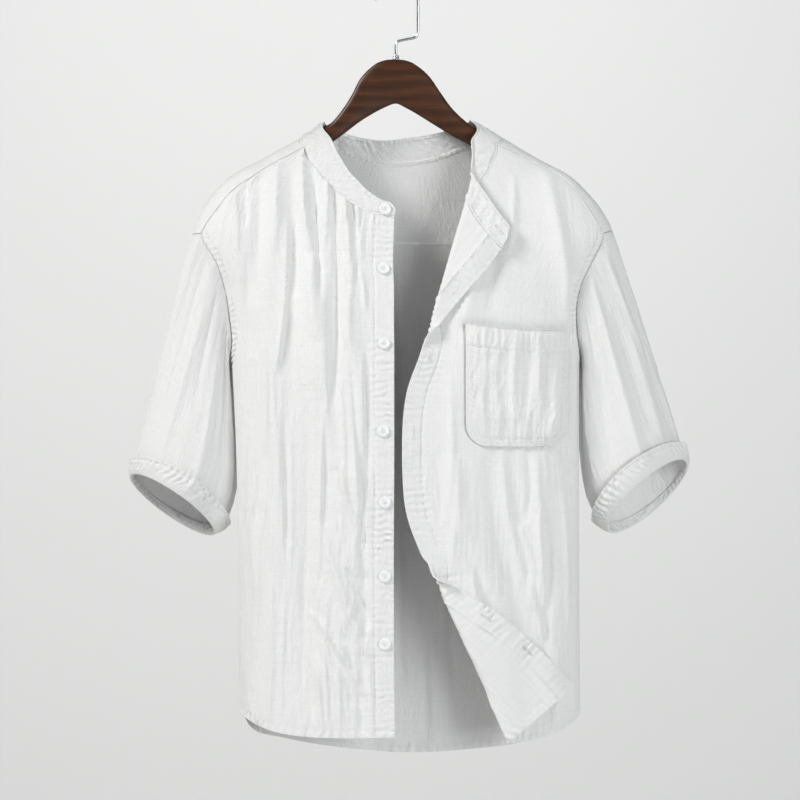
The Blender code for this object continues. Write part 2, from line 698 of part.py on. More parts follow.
def build_pocket():
    """The pocket's places: columns between its sides, drawn in round its lower corners."""
    left, right, top, foot = (POCKET[key] for key in ("left", "right", "top", "foot"))
    radius = POCKET["corner"]
    down_count, across_count = POCKET["rows"], POCKET["columns"]
    heights = [top - (top - foot - radius) * step / down_count for step in range(down_count + 1)]
    heights += [foot + radius - radius * math.sin(math.radians(turn))
                for turn in POCKET["corner turns"]]
    rows = []
    for height in heights:
        below = max(0.0, foot + radius - height)
        draw_in = radius - math.sqrt(max(0.0, radius * radius - below * below))
        low, high = left + draw_in, right - draw_in
        upper = (height - foot) / (top - foot)
        row = []
        for part in (step / across_count for step in range(across_count + 1)):
            sag = POCKET["sag"] * math.sin(math.pi * part) * upper
            z = height - sag + POCKET["tilt"] * upper * (1 - part)
            row.append((angle_at(low + (high - low) * part, z, 1), z))
        rows.append(row)
    return rows


class Sleeve:
    """A sleeve as a surface: columns round the armhole, parts down to its open end."""

    def __init__(self, side, seams):
        turn = 0.0 if side == "left" else 2 * math.pi
        back = shifted(seams["arm back " + side], turn)
        yoke = shifted(seams["arm yoke " + side], turn)
        if side == "right":
            yoke = yoke[::-1]
        loop = joined(shifted(seams["arm ridge " + side], turn)[::-1],
                      seams["arm front " + side], back[::-1], yoke[::-1])[:-1]
        self.count = len(loop)
        self.under = RIDGE_STEPS + ARM_STEPS
        self.sign = -1 if side == "left" else 1
        self.center, self.outer, self.front = (Vector(item) for item in CUFFS[side])
        frames = [tube_frame(angle, z) for angle, z in loop]
        self.points = [frame[0] for frame in frames]
        self.starts = [self.start(index, frames) for index in range(self.count)]
        self.turns = self.end_turns()

    def start(self, index, frames):
        """Direction, reach and gap with which a column leaves the armhole."""
        point, normal = frames[index]
        around = (self.points[(index + 1) % self.count] - self.points[index - 1]).normalized()
        high, low = self.points[0].z, self.points[self.under].z
        under = min(1.0, max(0.0, (high - point.z) / (high - low)))
        behind = (index - self.under + SLEEVE_BACK_COLUMNS / 2) / SLEEVE_BACK_COLUMNS
        lean = SLEEVE_BACK * under * min(1.0, max(0.0, behind))
        direction = Vector((self.sign * (SLEEVE_OUT[0] + SLEEVE_OUT[1] * under), lean,
                            SLEEVE_DOWN[0] + SLEEVE_DOWN[1] * under)).normalized()
        square = abs(normal.dot(direction))
        gap = SEAM_GAP + (WALL / 2 + ARMHOLE_CLEAR) * square + UNDERARM_EASE * under ** 3
        slant = max(SLANT_LEAST, direction.cross(around).length)
        return direction, SLEEVE_LEAVE[0] * (1 + SLEEVE_LEAVE[1] * under), gap / slant

    def end_turns(self):
        """The angle round the open end at which each column arrives."""
        lengths = [0.0]
        for index in range(self.count):
            step = self.points[(index + 1) % self.count] - self.points[index]
            lengths.append(lengths[-1] + step.length)
        half, whole = lengths[self.under], lengths[-1]
        turns = []
        for length in lengths[:-1]:
            if length <= half:
                turns.append(math.pi * length / half)
            else:
                turns.append(math.pi + math.pi * (length - half) / (whole - half))
        return turns

    def middle(self, index, part):
        index %= self.count
        direction, leave, gap = self.starts[index]
        begin = self.points[index] + direction * gap
        turn = self.turns[index]
        end = self.center + self.outer * math.cos(turn) + self.front * math.sin(turn)
        inner = (1 - math.cos(turn)) / 2
        arrive = Vector((self.sign * (CUFF_OUT[0] + CUFF_OUT[1] * inner), 0.0,
                         CUFF_DOWN[0] + CUFF_DOWN[1] * inner))
        arrive *= SLEEVE_ARRIVE[0] * (1 + SLEEVE_ARRIVE[1] * inner)
        return Vector([hermite(begin[k], end[k], direction[k] * leave * 2, arrive[k], part)
                       for k in range(3)])

    def place(self, index, part, height):
        around = self.middle(index + 1, part) - self.middle(index - 1, part)
        down = self.middle(index, part + SLEEVE_STEP) - self.middle(index, part - SLEEVE_STEP)
        normal = around.cross(down).normalized() * self.sign
        return self.middle(index, part) + normal * height

    def cuff_part(self, index, up):
        """The part of a column that the cuff reaches when it has come so far up."""
        inner = (1 - math.cos(self.turns[index])) / 2
        reach = CUFF_HEIGHT[0] + CUFF_HEIGHT[1] * inner ** CUFF_TAPER
        length = (self.middle(index, 1.0) - self.middle(index, 0.0)).length
        return 1.0 - up * reach / length


def build_sleeve(name, sleeve):
    grids = [[[sleeve.place(column, row / SLEEVE_ROWS, height) for column in range(sleeve.count)]
              for row in range(SLEEVE_ROWS + 1)] for height in (WALL / 2, -WALL / 2)]
    wall_from_grids(name, grids[0], grids[1], ring=True)


def build_cuff(name, sleeve):
    """The turned-up end of a sleeve: a wall round it whose free edge stands off."""
    grids = []
    for extra in (WALL, 0.0):
        grid = []
        for row in range(CUFF_ROWS + 1):
            up = row / CUFF_ROWS
            height = WALL / 2 + SEAM_GAP + extra + CUFF_FLARE * up
            grid.append([sleeve.place(column, sleeve.cuff_part(column, up), height)
                         for column in range(sleeve.count)])
        grids.append(grid)
    wall_from_grids(name, grids[0], grids[1], ring=True)


def ridge_height(x):
    """Height of the shoulder ridge over a place on the hanger, by halving."""
    column = 0 if x < 0 else 1
    low, high = SHOULDER_LEFT, OUTLINE[0][0]
    for _ in range(HALVINGS):
        middle = (low + high) / 2
        if abs(read_table(OUTLINE, middle)[column]) < abs(x):
            high = middle
        else:
            low = middle
    return (low + high) / 2


def build_hanger():
    """The wooden body: upright oval sections from one arm's tip to the other's."""
    mesh_data = bmesh.new()
    rings = []
    for x, top, foot in HANGER:
        if top is None:
            slope = ridge_height(x + 1) - ridge_height(x - 1)
            top = ridge_height(x) - HANGER_UNDER_RIDGE * math.sqrt(1 + slope * slope / 4)
        center, half = (top + foot) / 2, (top - foot) / 2
        ring = []
        for step in range(HANGER_SIDES):
            turn = 2 * math.pi * step / HANGER_SIDES
            ring.append(mesh_data.verts.new((x, HANGER_HALF_THICKNESS * math.sin(turn),
                                             center + half * math.cos(turn))))
        rings.append(ring)
    for low, high in zip(rings, rings[1:]):
        for step in range(HANGER_SIDES):
            beside = (step + 1) % HANGER_SIDES
            mesh_data.faces.new((low[step], low[beside], high[beside], high[step]))
    mesh_data.faces.new(rings[0])
    mesh_data.faces.new(rings[-1])
    finish_object("hanger_wood", mesh_data, "wood")


def build_ferrule():
    mesh_data = bmesh.new()
    bmesh.ops.create_cone(mesh_data, cap_ends=True, segments=FERRULE_SIDES,
                          radius1=FERRULE_RADIUS, radius2=FERRULE_RADIUS * FERRULE_TAPER,
                          depth=FERRULE_HEIGHT)
    seat = HANGER_TOP + SEAM_GAP
    for vertex in mesh_data.verts:
        vertex.co += Vector((HOOK_STEM_X, 0, seat + FERRULE_HEIGHT / 2))
    finish_object("hook_ferrule", mesh_data, "metal")


def hook_route():
    """Centre line of the wire: stem, crank to the right, and the bend over the top."""
    radius = HOOK_RADIUS
    center_x = HOOK_SIDE_X - radius
    center_z = HOOK_WIRE / 2 - radius
    route = [Vector((HOOK_STEM_X, 0, HANGER_TOP + 2 * SEAM_GAP + FERRULE_HEIGHT))]
    for start, crank in ((HOOK_STEM_X, HOOK_CRANK_START), (HOOK_SIDE_X, HOOK_CRANK_END)):
        route += [Vector((start + x, 0, z)) for x, z in crank]
    for step in range(HOOK_BEND_STEPS + 1):
        turn = math.pi * step / HOOK_BEND_STEPS
        route.append(Vector((center_x + radius * math.cos(turn), 0,
                             center_z + radius * math.sin(turn))))
    route.append(Vector((center_x - radius, 0, center_z - HOOK_END)))
    return route


def build_hook():
    curve = bpy.data.curves.new("hook_wire", "CURVE")
    curve.dimensions = "3D"
    curve.bevel_depth = HOOK_WIRE / 2 * MM
    curve.bevel_resolution = 2
    curve.use_fill_caps = True
    route = hook_route()
    line = curve.splines.new("POLY")
    line.points.add(len(route) - 1)
    for point, place in zip(line.points, route):
        point.co = (*(place * MM), 1.0)
    curve.materials.append(material("metal"))
    made = bpy.data.objects.new("hook_wire", curve)
    bpy.context.collection.objects.link(made)


def build_button(name, x, z):
    """A turned disc with a raised rim, lying on the right front."""
    radius, thickness = BUTTON["diameter"] / 2, BUTTON["thickness"]
    rim = BUTTON["rim"]
    profile = ((0.0, 0.0), (radius - rim, 0.0), (radius, rim), (radius, thickness - rim),
               (radius - rim, thickness), (radius - 3 * rim, thickness - rim),
               (0.0, thickness - rim))
    seat = cloth_place(angle_at(x, z, 1), z, WALL / 2 + SEAM_GAP)
    normal = tube_frame(angle_at(x, z, 1), z)[1]
    turned = normal.to_track_quat("Z", "Y")
    mesh_data = bmesh.new()
    rings = []
    for reach, height in profile[1:-1]:
        rings.append([mesh_data.verts.new(
            seat + turned @ Vector((reach * math.cos(turn), reach * math.sin(turn), height)))
            for turn in (2 * math.pi * step / BUTTON["sides"] for step in range(BUTTON["sides"]))])
    for low, high in zip(rings, rings[1:]):
        for step in range(BUTTON["sides"]):
            beside = (step + 1) % BUTTON["sides"]
            mesh_data.faces.new((low[step], low[beside], high[beside], high[step]))
    mesh_data.faces.new(rings[0])
    mesh_data.faces.new(rings[-1])
    finish_object(name, mesh_data, "button")


def main():
    clear_scene()
    seams = build_seams()
    panel("front_right", build_front_right(seams))
    panel("front_left", build_front_left(seams), turned=True)
    panel("back", build_back(seams))
    panel("yoke", build_yoke(seams))
    panel("collar_band", build_band(seams), turned=True)
    outer = WALL / 2 + POCKET["gap"]
    panel("pocket", build_pocket(), low=outer, high=outer + POCKET["wall"])
    for side, wearer in (("left", "right"), ("right", "left")):
        sleeve = Sleeve(side, seams)
        build_sleeve("sleeve_" + wearer, sleeve)
        build_cuff("cuff_" + wearer, sleeve)
    for name, x, z in BUTTONS:
        build_button(name, x, z)
    build_hanger()
    build_ferrule()
    build_hook()


main()
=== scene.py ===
import math

import bmesh
import bpy
import numpy as np
from mathutils import Matrix, Vector


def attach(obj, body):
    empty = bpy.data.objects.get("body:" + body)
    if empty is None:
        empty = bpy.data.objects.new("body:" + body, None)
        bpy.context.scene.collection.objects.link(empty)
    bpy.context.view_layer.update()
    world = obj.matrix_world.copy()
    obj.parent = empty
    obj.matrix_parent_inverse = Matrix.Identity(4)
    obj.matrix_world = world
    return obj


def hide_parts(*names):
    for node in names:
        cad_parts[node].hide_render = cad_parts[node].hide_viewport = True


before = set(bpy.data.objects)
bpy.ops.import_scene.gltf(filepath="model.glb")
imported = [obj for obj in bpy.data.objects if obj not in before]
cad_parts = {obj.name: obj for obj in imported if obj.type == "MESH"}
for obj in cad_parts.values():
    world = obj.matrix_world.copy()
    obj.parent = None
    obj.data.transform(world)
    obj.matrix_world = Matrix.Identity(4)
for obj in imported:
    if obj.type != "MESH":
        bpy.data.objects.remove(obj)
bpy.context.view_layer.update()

mm = 0.001               # sizes below are in millimetres unless a note says otherwise
print("frame loaded")


# ---- the body of the shirt: one soft, flattened tube, given by an angle round it and a height
tube = {
    "roundness": 3.0,    # exponent of its section
    "probe": 0.5,        # step for measuring its slopes
    # height, left, right, front depth, back depth, fold y
    "outline": (
        (-170.0, -76.0, 78.0, 17.0, 15.0, 0.0), (-193.0, -108.5, 119.0, 21.0, 20.0, 0.0),
        (-219.8, -157.1, 164.0, 26.0, 24.0, 0.0), (-237.6, -189.5, 197.9, 28.0, 26.0, 0.0),
        (-256.8, -210.3, 219.0, 31.0, 28.0, 0.0), (-277.6, -225.0, 236.5, 34.0, 30.0, 0.0),
        (-307.0, -237.0, 250.0, 37.0, 32.0, 0.0), (-340.0, -227.0, 240.0, 40.0, 34.0, -1.0),
        (-371.0, -209.0, 225.0, 42.0, 35.0, -3.0), (-406.0, -198.0, 215.0, 43.0, 35.0, -6.0),
        (-455.0, -191.0, 211.0, 44.0, 35.0, -9.0), (-600.0, -184.4, 210.0, 45.0, 35.0, -11.0),
        (-850.0, -182.0, 211.0, 45.0, 36.0, -11.0), (-925.0, -181.0, 211.0, 45.0, 36.0, -11.0),
    ),
    # side, top x, top z, foot x, foot z, half width, height
    "folds": (
        (1, -150, -300, -168, -900, 13, 4.5), (1, -118, -250, -128, -905, 12, -4.0),
        (1, -96, -330, -88, -920, 11, 4.0), (1, -70, -330, -104, -920, 12, -5.0),
        (1, -52, -300, -46, -700, 8, 3.0), (1, -34, -420, -40, -920, 7, -3.0),
        (1, 96, -300, 70, -560, 20, 3.0), (1, 158, -240, 186, -640, 15, 4.0),
        (1, 128, -520, 160, -930, 18, -5.0), (1, 196, -560, 186, -920, 12, 5.0),
        (1, 60, -560, 96, -760, 14, 3.5), (-1, -120, -350, -132, -930, 16, 5.0),
        (-1, -70, -330, -62, -930, 14, -4.5), (-1, -20, -345, -28, -930, 15, 5.0),
        (-1, 40, -330, 46, -930, 15, -4.5), (-1, 96, -345, 104, -930, 16, 5.0),
        (-1, 150, -350, 156, -930, 14, -4.0),
    ),
}

# seams: x, z and side (1 front, -1 back); with side 0 the first value is the angle in degrees
seams = {
    "neckLeft": ((-3, -290, 1), (-28, -284.5, 1), (-46, -276, 1), (-64, -264.5, 1),
                 (-82, -247, 1), (-96, -229, 1), (-106, -206, 1)),
    "neckBack": ((-108.5, -193, -1), (-94, -198, -1), (-70, -209, -1), (-40, -220, -1),
                 (0, -225, -1), (42, -219, -1), (76, -207, -1), (104, -197, -1), (119, -193, -1)),
    "neckRight": ((10, -294.4, 1), (36, -288, 1), (60, -278, 1), (80, -265, 1),
                  (97, -249, 1), (109, -228, 1), (116, -205, 1)),
    "yokeFrontLeft": ((-106, -206, 1), (-138, -222.5, 1), (-163, -237.6, 1),
                      (-189.5, -256, 1), (-207.3, -277, 1), (-226, -306, 1)),
    "yokeFrontRight": ((116, -205, 1), (147, -218, 1), (176, -231, 1),
                       (199, -247, 1), (217, -270, 1), (238, -306, 1)),
    "yokeBack": ((-229, -328, -1), (-120, -319, -1), (5, -315, -1), (132, -319, -1),
                 (241, -324, -1)),
    "armFrontLeft": ((-226, -306, 1), (-208, -340, 1), (-198, -371, 1), (-192.5, -404, 1),
                     (11, -432, 0), (2, -450, 0), (-9, -458, 0)),
    "armBackLeft": ((-229, -328, -1), (-16, -368, 0), (-24, -405, 0), (-25, -432, 0),
                    (-18, -450, 0), (-9, -458, 0)),
    "armFrontRight": ((238, -306, 1), (221, -346, 1), (208, -380, 1), (206, -404, 1),
                      (169, -432, 0), (178, -450, 0), (189, -458, 0)),
    "armBackRight": ((241, -324, -1), (-164, -366, 0), (-156, -405, 0), (-155, -432, 0),
                     (-162, -450, 0), (-171, -458, 0)),
    "edgeLeft": ((-3, -290, 1), (-3, -480, 1), (-3.5, -690, 1), (-2.3, -884, 1)),
    "edgeRight": ((10, -294.4, 1), (12, -322, 1), (17.5, -358, 1), (25, -408, 1),
                  (27.8, -439.6, 1), (11, -490, 1), (5.8, -545, 1), (9, -620, 1),
                  (26, -672, 1), (36, -690, 1), (31, -725, 1), (20, -787, 1),
                  (18, -850, 1), (24, -902, 1)),
    "hemFrontLeft": ((-2.3, -884, 1), (-55, -885, 1), (-102, -884, 1), (-140, -879, 1),
                     (-166, -869, 1), (10, -860, 0), (0, -855, 0), (-9, -852, 0)),
    "hemFrontRight": ((24, -902, 1), (70, -899, 1), (124, -891, 1), (160, -887, 1),
                      (188, -879, 1), (170, -864, 0), (180, -857, 0), (189, -854, 0)),
    "hemBack": ((-9, -852, 0), (-15, -870, 0), (-163, -884, -1), (-134, -892, -1),
                (-80, -902.5, -1), (9, -910.5, -1), (100, -905, -1), (160, -895, -1),
                (-164, -874, 0), (-171, -854, 0)),
    "bandTopLeft": ((-1.2, -280, 1), (-7, -272, 1), (-17, -269, 1), (-33, -258.4, 1),
                    (-51, -240, 1), (-67, -216, 1), (-78, -194, 1), (-83.8, -176.4, 1)),
    "bandTopBack": ((-83.8, -176.4, -1), (-72, -183, -1), (-48, -191.5, -1), (-16, -196, -1),
                    (14, -193, -1), (50, -187, -1), (72, -180, -1), (84, -173.6, -1)),
    "bandTopRight": ((11, -279, 1), (16, -268, 1), (29, -263, 1), (51, -254, 1),
                     (75, -241, 1), (86, -220, 1), (87, -196, 1), (84, -173.6, 1)),
}
shoulder = {"left": -307.0, "right": -300.0, "neckZ": -193.0}

# the two stretches of the left front that are turned out, each about a straight crease
turned = {
    # foot x, foot z, head x, head z, side, radius, bend
    "creases": ((29.5, -440.0, 88.2, -237.8, 1, 4.2, 24.0),
                (37.0, -687.9, 124.0, -887.4, -1, 3.8, 0.0)),
    "bendStart": 30.0, "bendLength": 90.0, "bendPower": 1.8,
    "grow": 50.0, "early": 8.0, "taper": 90.0, "tight": 3.0, "openingX": 4.0,
}


def smooth(value):
    value = np.clip(value, 0.0, 1.0)
    return value * value * (3 - 2 * value)


def hermite(start, end, startSlope, endSlope, part):
    square, cube = part * part, part ** 3
    return (start * (2 * cube - 3 * square + 1) + startSlope * (cube - 2 * square + part)
            + end * (3 * square - 2 * cube) + endSlope * (cube - square))


def readTable(table, key):
    # every column of a table at an array of keys, by a smooth curve through its rows
    rows = np.array(sorted(table), float)
    last = len(rows) - 1
    key = np.clip(key, rows[0, 0], rows[-1, 0])
    index = np.clip(np.searchsorted(rows[1:, 0], key), 0, last - 1)
    before, after = np.maximum(np.arange(last + 1) - 1, 0), np.minimum(np.arange(last + 1) + 1, last)
    slopes = (rows[after] - rows[before]) / (rows[after, :1] - rows[before, :1])
    span = (rows[index + 1, 0] - rows[index, 0])
    part = (key - rows[index, 0]) / span
    return [hermite(rows[index, c], rows[index + 1, c], slopes[index, c] * span,
                    slopes[index + 1, c] * span, part) for c in range(1, rows.shape[1])]


def unit(vectors):
    return vectors / np.maximum(np.linalg.norm(vectors, axis=-1, keepdims=True), 1e-9)


def largeFolds(side, x, z):
    total = np.zeros_like(x)
    for foldSide, topX, topZ, footX, footZ, halfWidth, height in tube["folds"]:
        part = (topZ - z) / (topZ - footZ)
        away = (x - (topX + (footX - topX) * part)) / halfWidth
        here = (side == foldSide) & (part > 0) & (part < 1)
        swell = np.sin(math.pi * np.clip(part, 0, 1)) ** 0.6
        total += np.where(here, height * swell * np.exp(-away * away), 0.0)
    return total


def tubePoint(angle, z):
    left, right, frontDepth, backDepth, foldY = readTable(tube["outline"], z)
    cosine = np.cos(angle)
    x = (left + right) / 2 - (right - left) / 2 * cosine
    side = np.where(np.sin(angle) >= 0, 1, -1)
    bulge = np.sqrt(np.clip(1 - np.abs(cosine) ** tube["roundness"], 0, None))
    depth = np.where(side > 0, frontDepth, backDepth) * bulge
    depth = depth + largeFolds(side, x, z) * bulge ** 3
    return np.stack([x, foldY - side * depth, z + 0 * x], -1)


def tubeFrame(angle, z):
    reach, step = tube["probe"] / 200, tube["probe"]
    along = tubePoint(angle + reach, z) - tubePoint(angle - reach, z)
    down = tubePoint(angle, z - step) - tubePoint(angle, z + step)
    return tubePoint(angle, z), unit(np.cross(down, along))


def angleAt(x, z, side):
    left, right = readTable(tube["outline"], z)[:2]
    cosine = np.clip(((left + right) / 2 - x) / ((right - left) / 2), -1, 1)
    return side * np.arccos(cosine)


def clothPlace(angle, z, isTurned=False):
    # middle of the cloth and its outward normal, with the left front's edge turned out
    point, normal = tubeFrame(angle, z)
    if not isTurned:
        return point, normal
    x = point[..., 0]
    best = None
    for footX, footZ, headX, headZ, side, radius, bend in turned["creases"]:
        foot, line = np.array([footX, footZ]), np.array([headX - footX, headZ - footZ])
        length = np.linalg.norm(line)
        line = line / length
        across = np.array([-line[1], line[0]]) * side
        offset = np.stack([x, z], -1) - foot
        along, beyond = offset @ line, offset @ across
        radii = np.maximum(turned["tight"], radius * np.minimum(1, along / turned["taper"]))
        bent = np.clip((along - length + turned["bendStart"]) / turned["bendLength"], 0, None)
        crease = -radii + np.maximum(0, -along) + bend * bent ** turned["bendPower"]
        past = np.where(x > turned["openingX"], beyond - crease, -1e3)
        opened = np.clip((along + turned["early"]) / turned["grow"], 0.05, 1)
        full = math.pi * opened * opened * (3 - 2 * opened)
        turn = np.clip(past / radii, 0, full)
        over = np.maximum(0, past - full * radii)
        reach = crease + radii * np.sin(turn) + over * np.cos(full)
        lift = radii * (1 - np.cos(turn)) + over * np.sin(full)
        place = foot + line * along[..., None] + across * reach[..., None]
        sideways = np.broadcast_to(np.array([across[0], 0.0, across[1]]), point.shape)
        found = [past, turn, lift, place, sideways]
        if best is None:
            best = found
        else:
            nearer = past > best[0]
            best = [np.where(nearer if a.ndim == nearer.ndim else nearer[..., None], a, b)
                    for a, b in zip(found, best)]
    past, turn, lift, place, sideways = best
    here = (past > 0) & (np.sin(angle) > 0)
    newX = np.where(here, place[..., 0], x)
    newZ = np.where(here, place[..., 1], z)
    newAngle = np.where(here, angleAt(newX, newZ, 1), angle)
    newPoint, newNormal = tubeFrame(newAngle, newZ)
    outward = unit(sideways - newNormal * np.sum(sideways * newNormal, -1, keepdims=True))
    turn, lift = np.where(here, turn, 0.0)[..., None], np.where(here, lift, 0.0)[..., None]
    return (newPoint + newNormal * lift,
            unit(newNormal * np.cos(turn) - outward * np.sin(turn)))


def resample(places, count):
    # even steps along a smooth curve through places of angle and height
    places = np.array(places, float)
    last = len(places) - 1
    fine = []
    for index in range(last):
        before, start = places[max(index - 1, 0)], places[index]
        end, after = places[index + 1], places[min(index + 2, last)]
        part = np.arange(12)[:, None] / 12
        fine.append(hermite(start, end, (end - before) / 2, (after - start) / 2, part))
    fine = np.concatenate(fine + [places[-1:]])
    steps = np.linalg.norm(np.diff(tubePoint(fine[:, 0], fine[:, 1]), axis=0), axis=1)
    lengths = np.concatenate([[0], np.cumsum(steps)])
    goals = np.linspace(0, lengths[-1], count + 1)
    return np.stack([np.interp(goals, lengths, fine[:, k]) for k in (0, 1)], -1)


def seamLine(name, count):
    places = []
    for x, z, side in seams[name]:
        angle = float(angleAt(np.array(float(x)), np.array(float(z)), side)) if side else math.radians(x)
        while places and angle - places[-1][0] > math.pi:
            angle -= 2 * math.pi
        while places and angle - places[-1][0] < -math.pi:
            angle += 2 * math.pi
        places.append((angle, z))
    return resample(places, count)


def straight(start, end, count):
    part = np.linspace(0, 1, count + 1)[:, None]
    return np.array(start) * (1 - part) + np.array(end) * part


def joined(*stretches):
    return np.concatenate([stretches[0]] + [stretch[1:] for stretch in stretches[1:]])


def between(top, foot, first, last, haste=1):
    # a grid of places spanned by four edges; first and last run from top to foot
    v = 1 - (1 - np.linspace(0, 1, len(first))[:, None, None]) ** haste
    u = np.linspace(0, 1, len(top))[None, :, None]
    return ((1 - v) * top[None] + v * foot[None] + (1 - u) * first[:, None] + u * last[:, None]
            - (1 - u) * (1 - v) * top[0] - u * (1 - v) * top[-1]
            - (1 - u) * v * foot[0] - u * v * foot[-1])


# ---- relief: listed creases, and fine crinkles between them
creases = {
    "depth": 2.1, "narrowest": 3.4,
    # top x, top z, foot x, foot z, bow, half width, height
    "frontRight": (
        (-140, -195, -141, -330, 2, 5.0, 2.4), (-126, -290, -137, -465, 3, 2.6, 2.2),
        (-124, -190, -118, -380, 2, 6.5, -2.2), (-109, -180, -100, -330, -3, 3.4, 2.8),
        (-160, -200, -164, -390, 3, 8.0, -2.2), (-190, -225, -183, -330, 2, 3.0, 1.8),
        (-178, -215, -174, -300, 1, 3.0, -1.6), (-97, -330, -92, -430, -3, 7.0, 2.6),
        (-128, -390, -136, -470, -2, 3.0, 1.2), (-84, -205, -80, -300, 2, 3.0, 1.8),
        (-99, -215, -87, -385, 1, 2.4, -2.2), (-75, -225, -72, -500, 4, 2.0, -2.1),
        (-66, -225, -54, -365, 3, 4.5, 2.4), (-84, -350, -72, -580, -5, 7.5, 2.6),
        (-58, -235, -46, -320, 2, 2.4, -1.4), (-46, -250, -40, -340, -2, 3.0, 1.4),
        (-152, -430, -150, -560, 2, 3.0, 1.4), (-144, -440, -136, -690, 3, 3.4, 1.6),
        (-132, -470, -128, -700, -3, 2.8, 1.3), (-122, -520, -122, -720, 2, 2.4, 1.2),
        (-166, -520, -160, -730, -3, 3.5, 1.5), (-158, -650, -170, -860, 3, 4.0, 1.3),
        (-143, -700, -146, -880, 2, 3.2, 1.2), (-127, -710, -131, -870, -2, 3.0, 1.0),
        (-102, -480, -110, -840, 3, 9.0, -2.4), (-84, -500, -88, -700, -2, 3.5, 1.5),
        (-62, -330, -58, -440, 2, 2.4, 1.5), (-50, -340, -52, -470, -3, 2.2, 1.4),
        (-42, -345, -36, -400, 1, 1.8, 1.2), (-56, -430, -46, -560, 2, 2.6, -1.5),
        (-40, -440, -36, -590, -2, 2.4, 1.4), (-66, -470, -60, -620, 3, 2.8, 1.2),
        (-49, -520, -42, -640, -2, 2.2, 1.1), (-84, -640, -32, -790, -6, 5.5, 2.0),
        (-58, -690, -30, -760, 3, 4.5, -2.2), (-68, -560, -40, -660, -3, 4.0, 1.6),
        (-98, -740, -36, -838, 5, 5.0, 1.6), (-76, -770, -44, -850, -3, 4.0, -1.4),
        (-92, -790, -86, -880, 1, 3.0, 1.2), (-66, -800, -64, -884, -1, 3.0, 1.0),
        (-48, -820, -40, -880, 2, 3.4, -1.2), (-182, -440, -176, -640, 3, 3.0, 1.3),
        (-172, -330, -166, -450, -3, 6.0, -1.8), (-34, -600, -32, -700, 1, 1.8, 1.0),
    ),
    "frontLeft": (
        (96, -262, 74, -420, 5, 9.0, 1.4), (134, -236, 128, -330, 3, 4.0, 1.3),
        (60, -470, 58, -640, 4, 5.0, 1.2),
        (104, -560, 146, -770, -9, 10.0, -1.2), (120, -545, 156, -740, -8, 7.0, 2.2),
        (148, -552, 150, -640, 4, 5.0, -1.6), (160, -560, 176, -760, -4, 5.5, 1.6),
        (174, -640, 168, -800, 3, 5.0, -1.5), (190, -600, 196, -760, 2, 4.0, 1.4),
        (150, -700, 188, -830, -3, 5.0, 1.5), (184, -780, 178, -880, 2, 4.5, 1.3),
        (204, -420, 201, -560, 2, 4.0, 1.5), (138, -640, 160, -700, 2, 3.0, 1.0),
        (44, -560, 50, -640, 2, 4.0, -1.0), (70, -650, 112, -760, 4, 7.0, -1.4),
        (84, -700, 128, -820, -3, 4.0, 1.0), (60, -760, 110, -880, 3, 6.0, 1.2),
        (172, -232, 203, -425, 3, 9.0, 2.6), (118, -300, 108, -400, -2, 7.0, -0.9),
        (140, -232, 176, -425, 2, 22.0, -1.7), (70, -560, 60, -700, 3, 5.0, 1.2),
        (112, -520, 166, -800, -6, 24.0, -2.2),
    ),
    "back": (
        (-160, -345, -168, -620, 4, 6.0, 2.0), (-142, -400, -150, -760, -4, 4.0, 1.6),
        (-118, -350, -110, -560, 3, 5.0, -1.8), (-96, -380, -104, -700, 4, 3.4, 1.6),
        (-82, -600, -92, -880, -3, 5.0, 1.8), (-58, -345, -50, -520, 3, 3.2, 1.5),
        (-44, -450, -50, -760, -5, 5.0, -1.7), (-30, -600, -22, -880, 3, 4.0, 1.6),
        (-8, -340, -2, -640, 4, 3.6, 1.5), (10, -500, 6, -840, -4, 5.0, 1.8),
        (28, -345, 24, -520, -2, 3.0, 1.4), (44, -420, 56, -760, 4, 4.6, -1.7),
        (62, -640, 70, -890, -3, 4.0, 1.6), (82, -350, 78, -600, 3, 4.0, 1.6),
        (104, -480, 116, -800, -5, 5.0, 1.8), (126, -345, 130, -540, 2, 3.6, -1.6),
        (142, -540, 150, -860, 4, 4.4, 1.6), (170, -360, 176, -640, -3, 5.0, 1.7),
        (186, -560, 180, -840, 3, 4.0, 1.4), (-172, -640, -164, -860, 3, 4.0, 1.5),
        (-128, -700, -122, -880, -2, 3.6, 1.4), (30, -760, 34, -900, 2, 3.2, 1.3),
    ),
}


def creaseSum(table, x, z):
    total = np.zeros_like(x)
    for topX, topZ, footX, footZ, bow, halfWidth, height in table:
        part = (topZ - z) / (topZ - footZ)
        inside = np.clip(part, 0, 1)
        middle = topX + (footX - topX) * part + bow * np.sin(math.pi * inside)
        away = np.abs(x - middle) / max(halfWidth, creases["narrowest"])
        swell = np.sin(math.pi * inside) ** 0.55
        total += np.where((part > 0) & (part < 1), height * swell * np.exp(-away ** 1.8), 0.0)
    return total * creases["depth"]


def latticeNoise(u, v, seed):
    # smooth noise between -1 and 1, the same each run
    cellU, cellV = np.floor(u).astype(np.int64), np.floor(v).astype(np.int64)
    partU, partV = smooth(u - cellU), smooth(v - cellV)

    def corner(i, j):
        # large odd numbers scatter the corners of the lattice
        mixed = (i * 374761393 + j * 668265263 + seed * 144269504) & 0xffffffff
        mixed = ((mixed ^ (mixed >> 13)) * 1274126177) & 0xffffffff
        return ((mixed ^ (mixed >> 16)) & 0xffff) / 32767.5 - 1

    low = corner(cellU, cellV) * (1 - partU) + corner(cellU + 1, cellV) * partU
    high = corner(cellU, cellV + 1) * (1 - partU) + corner(cellU + 1, cellV + 1) * partU
    return low * (1 - partV) + high * partV


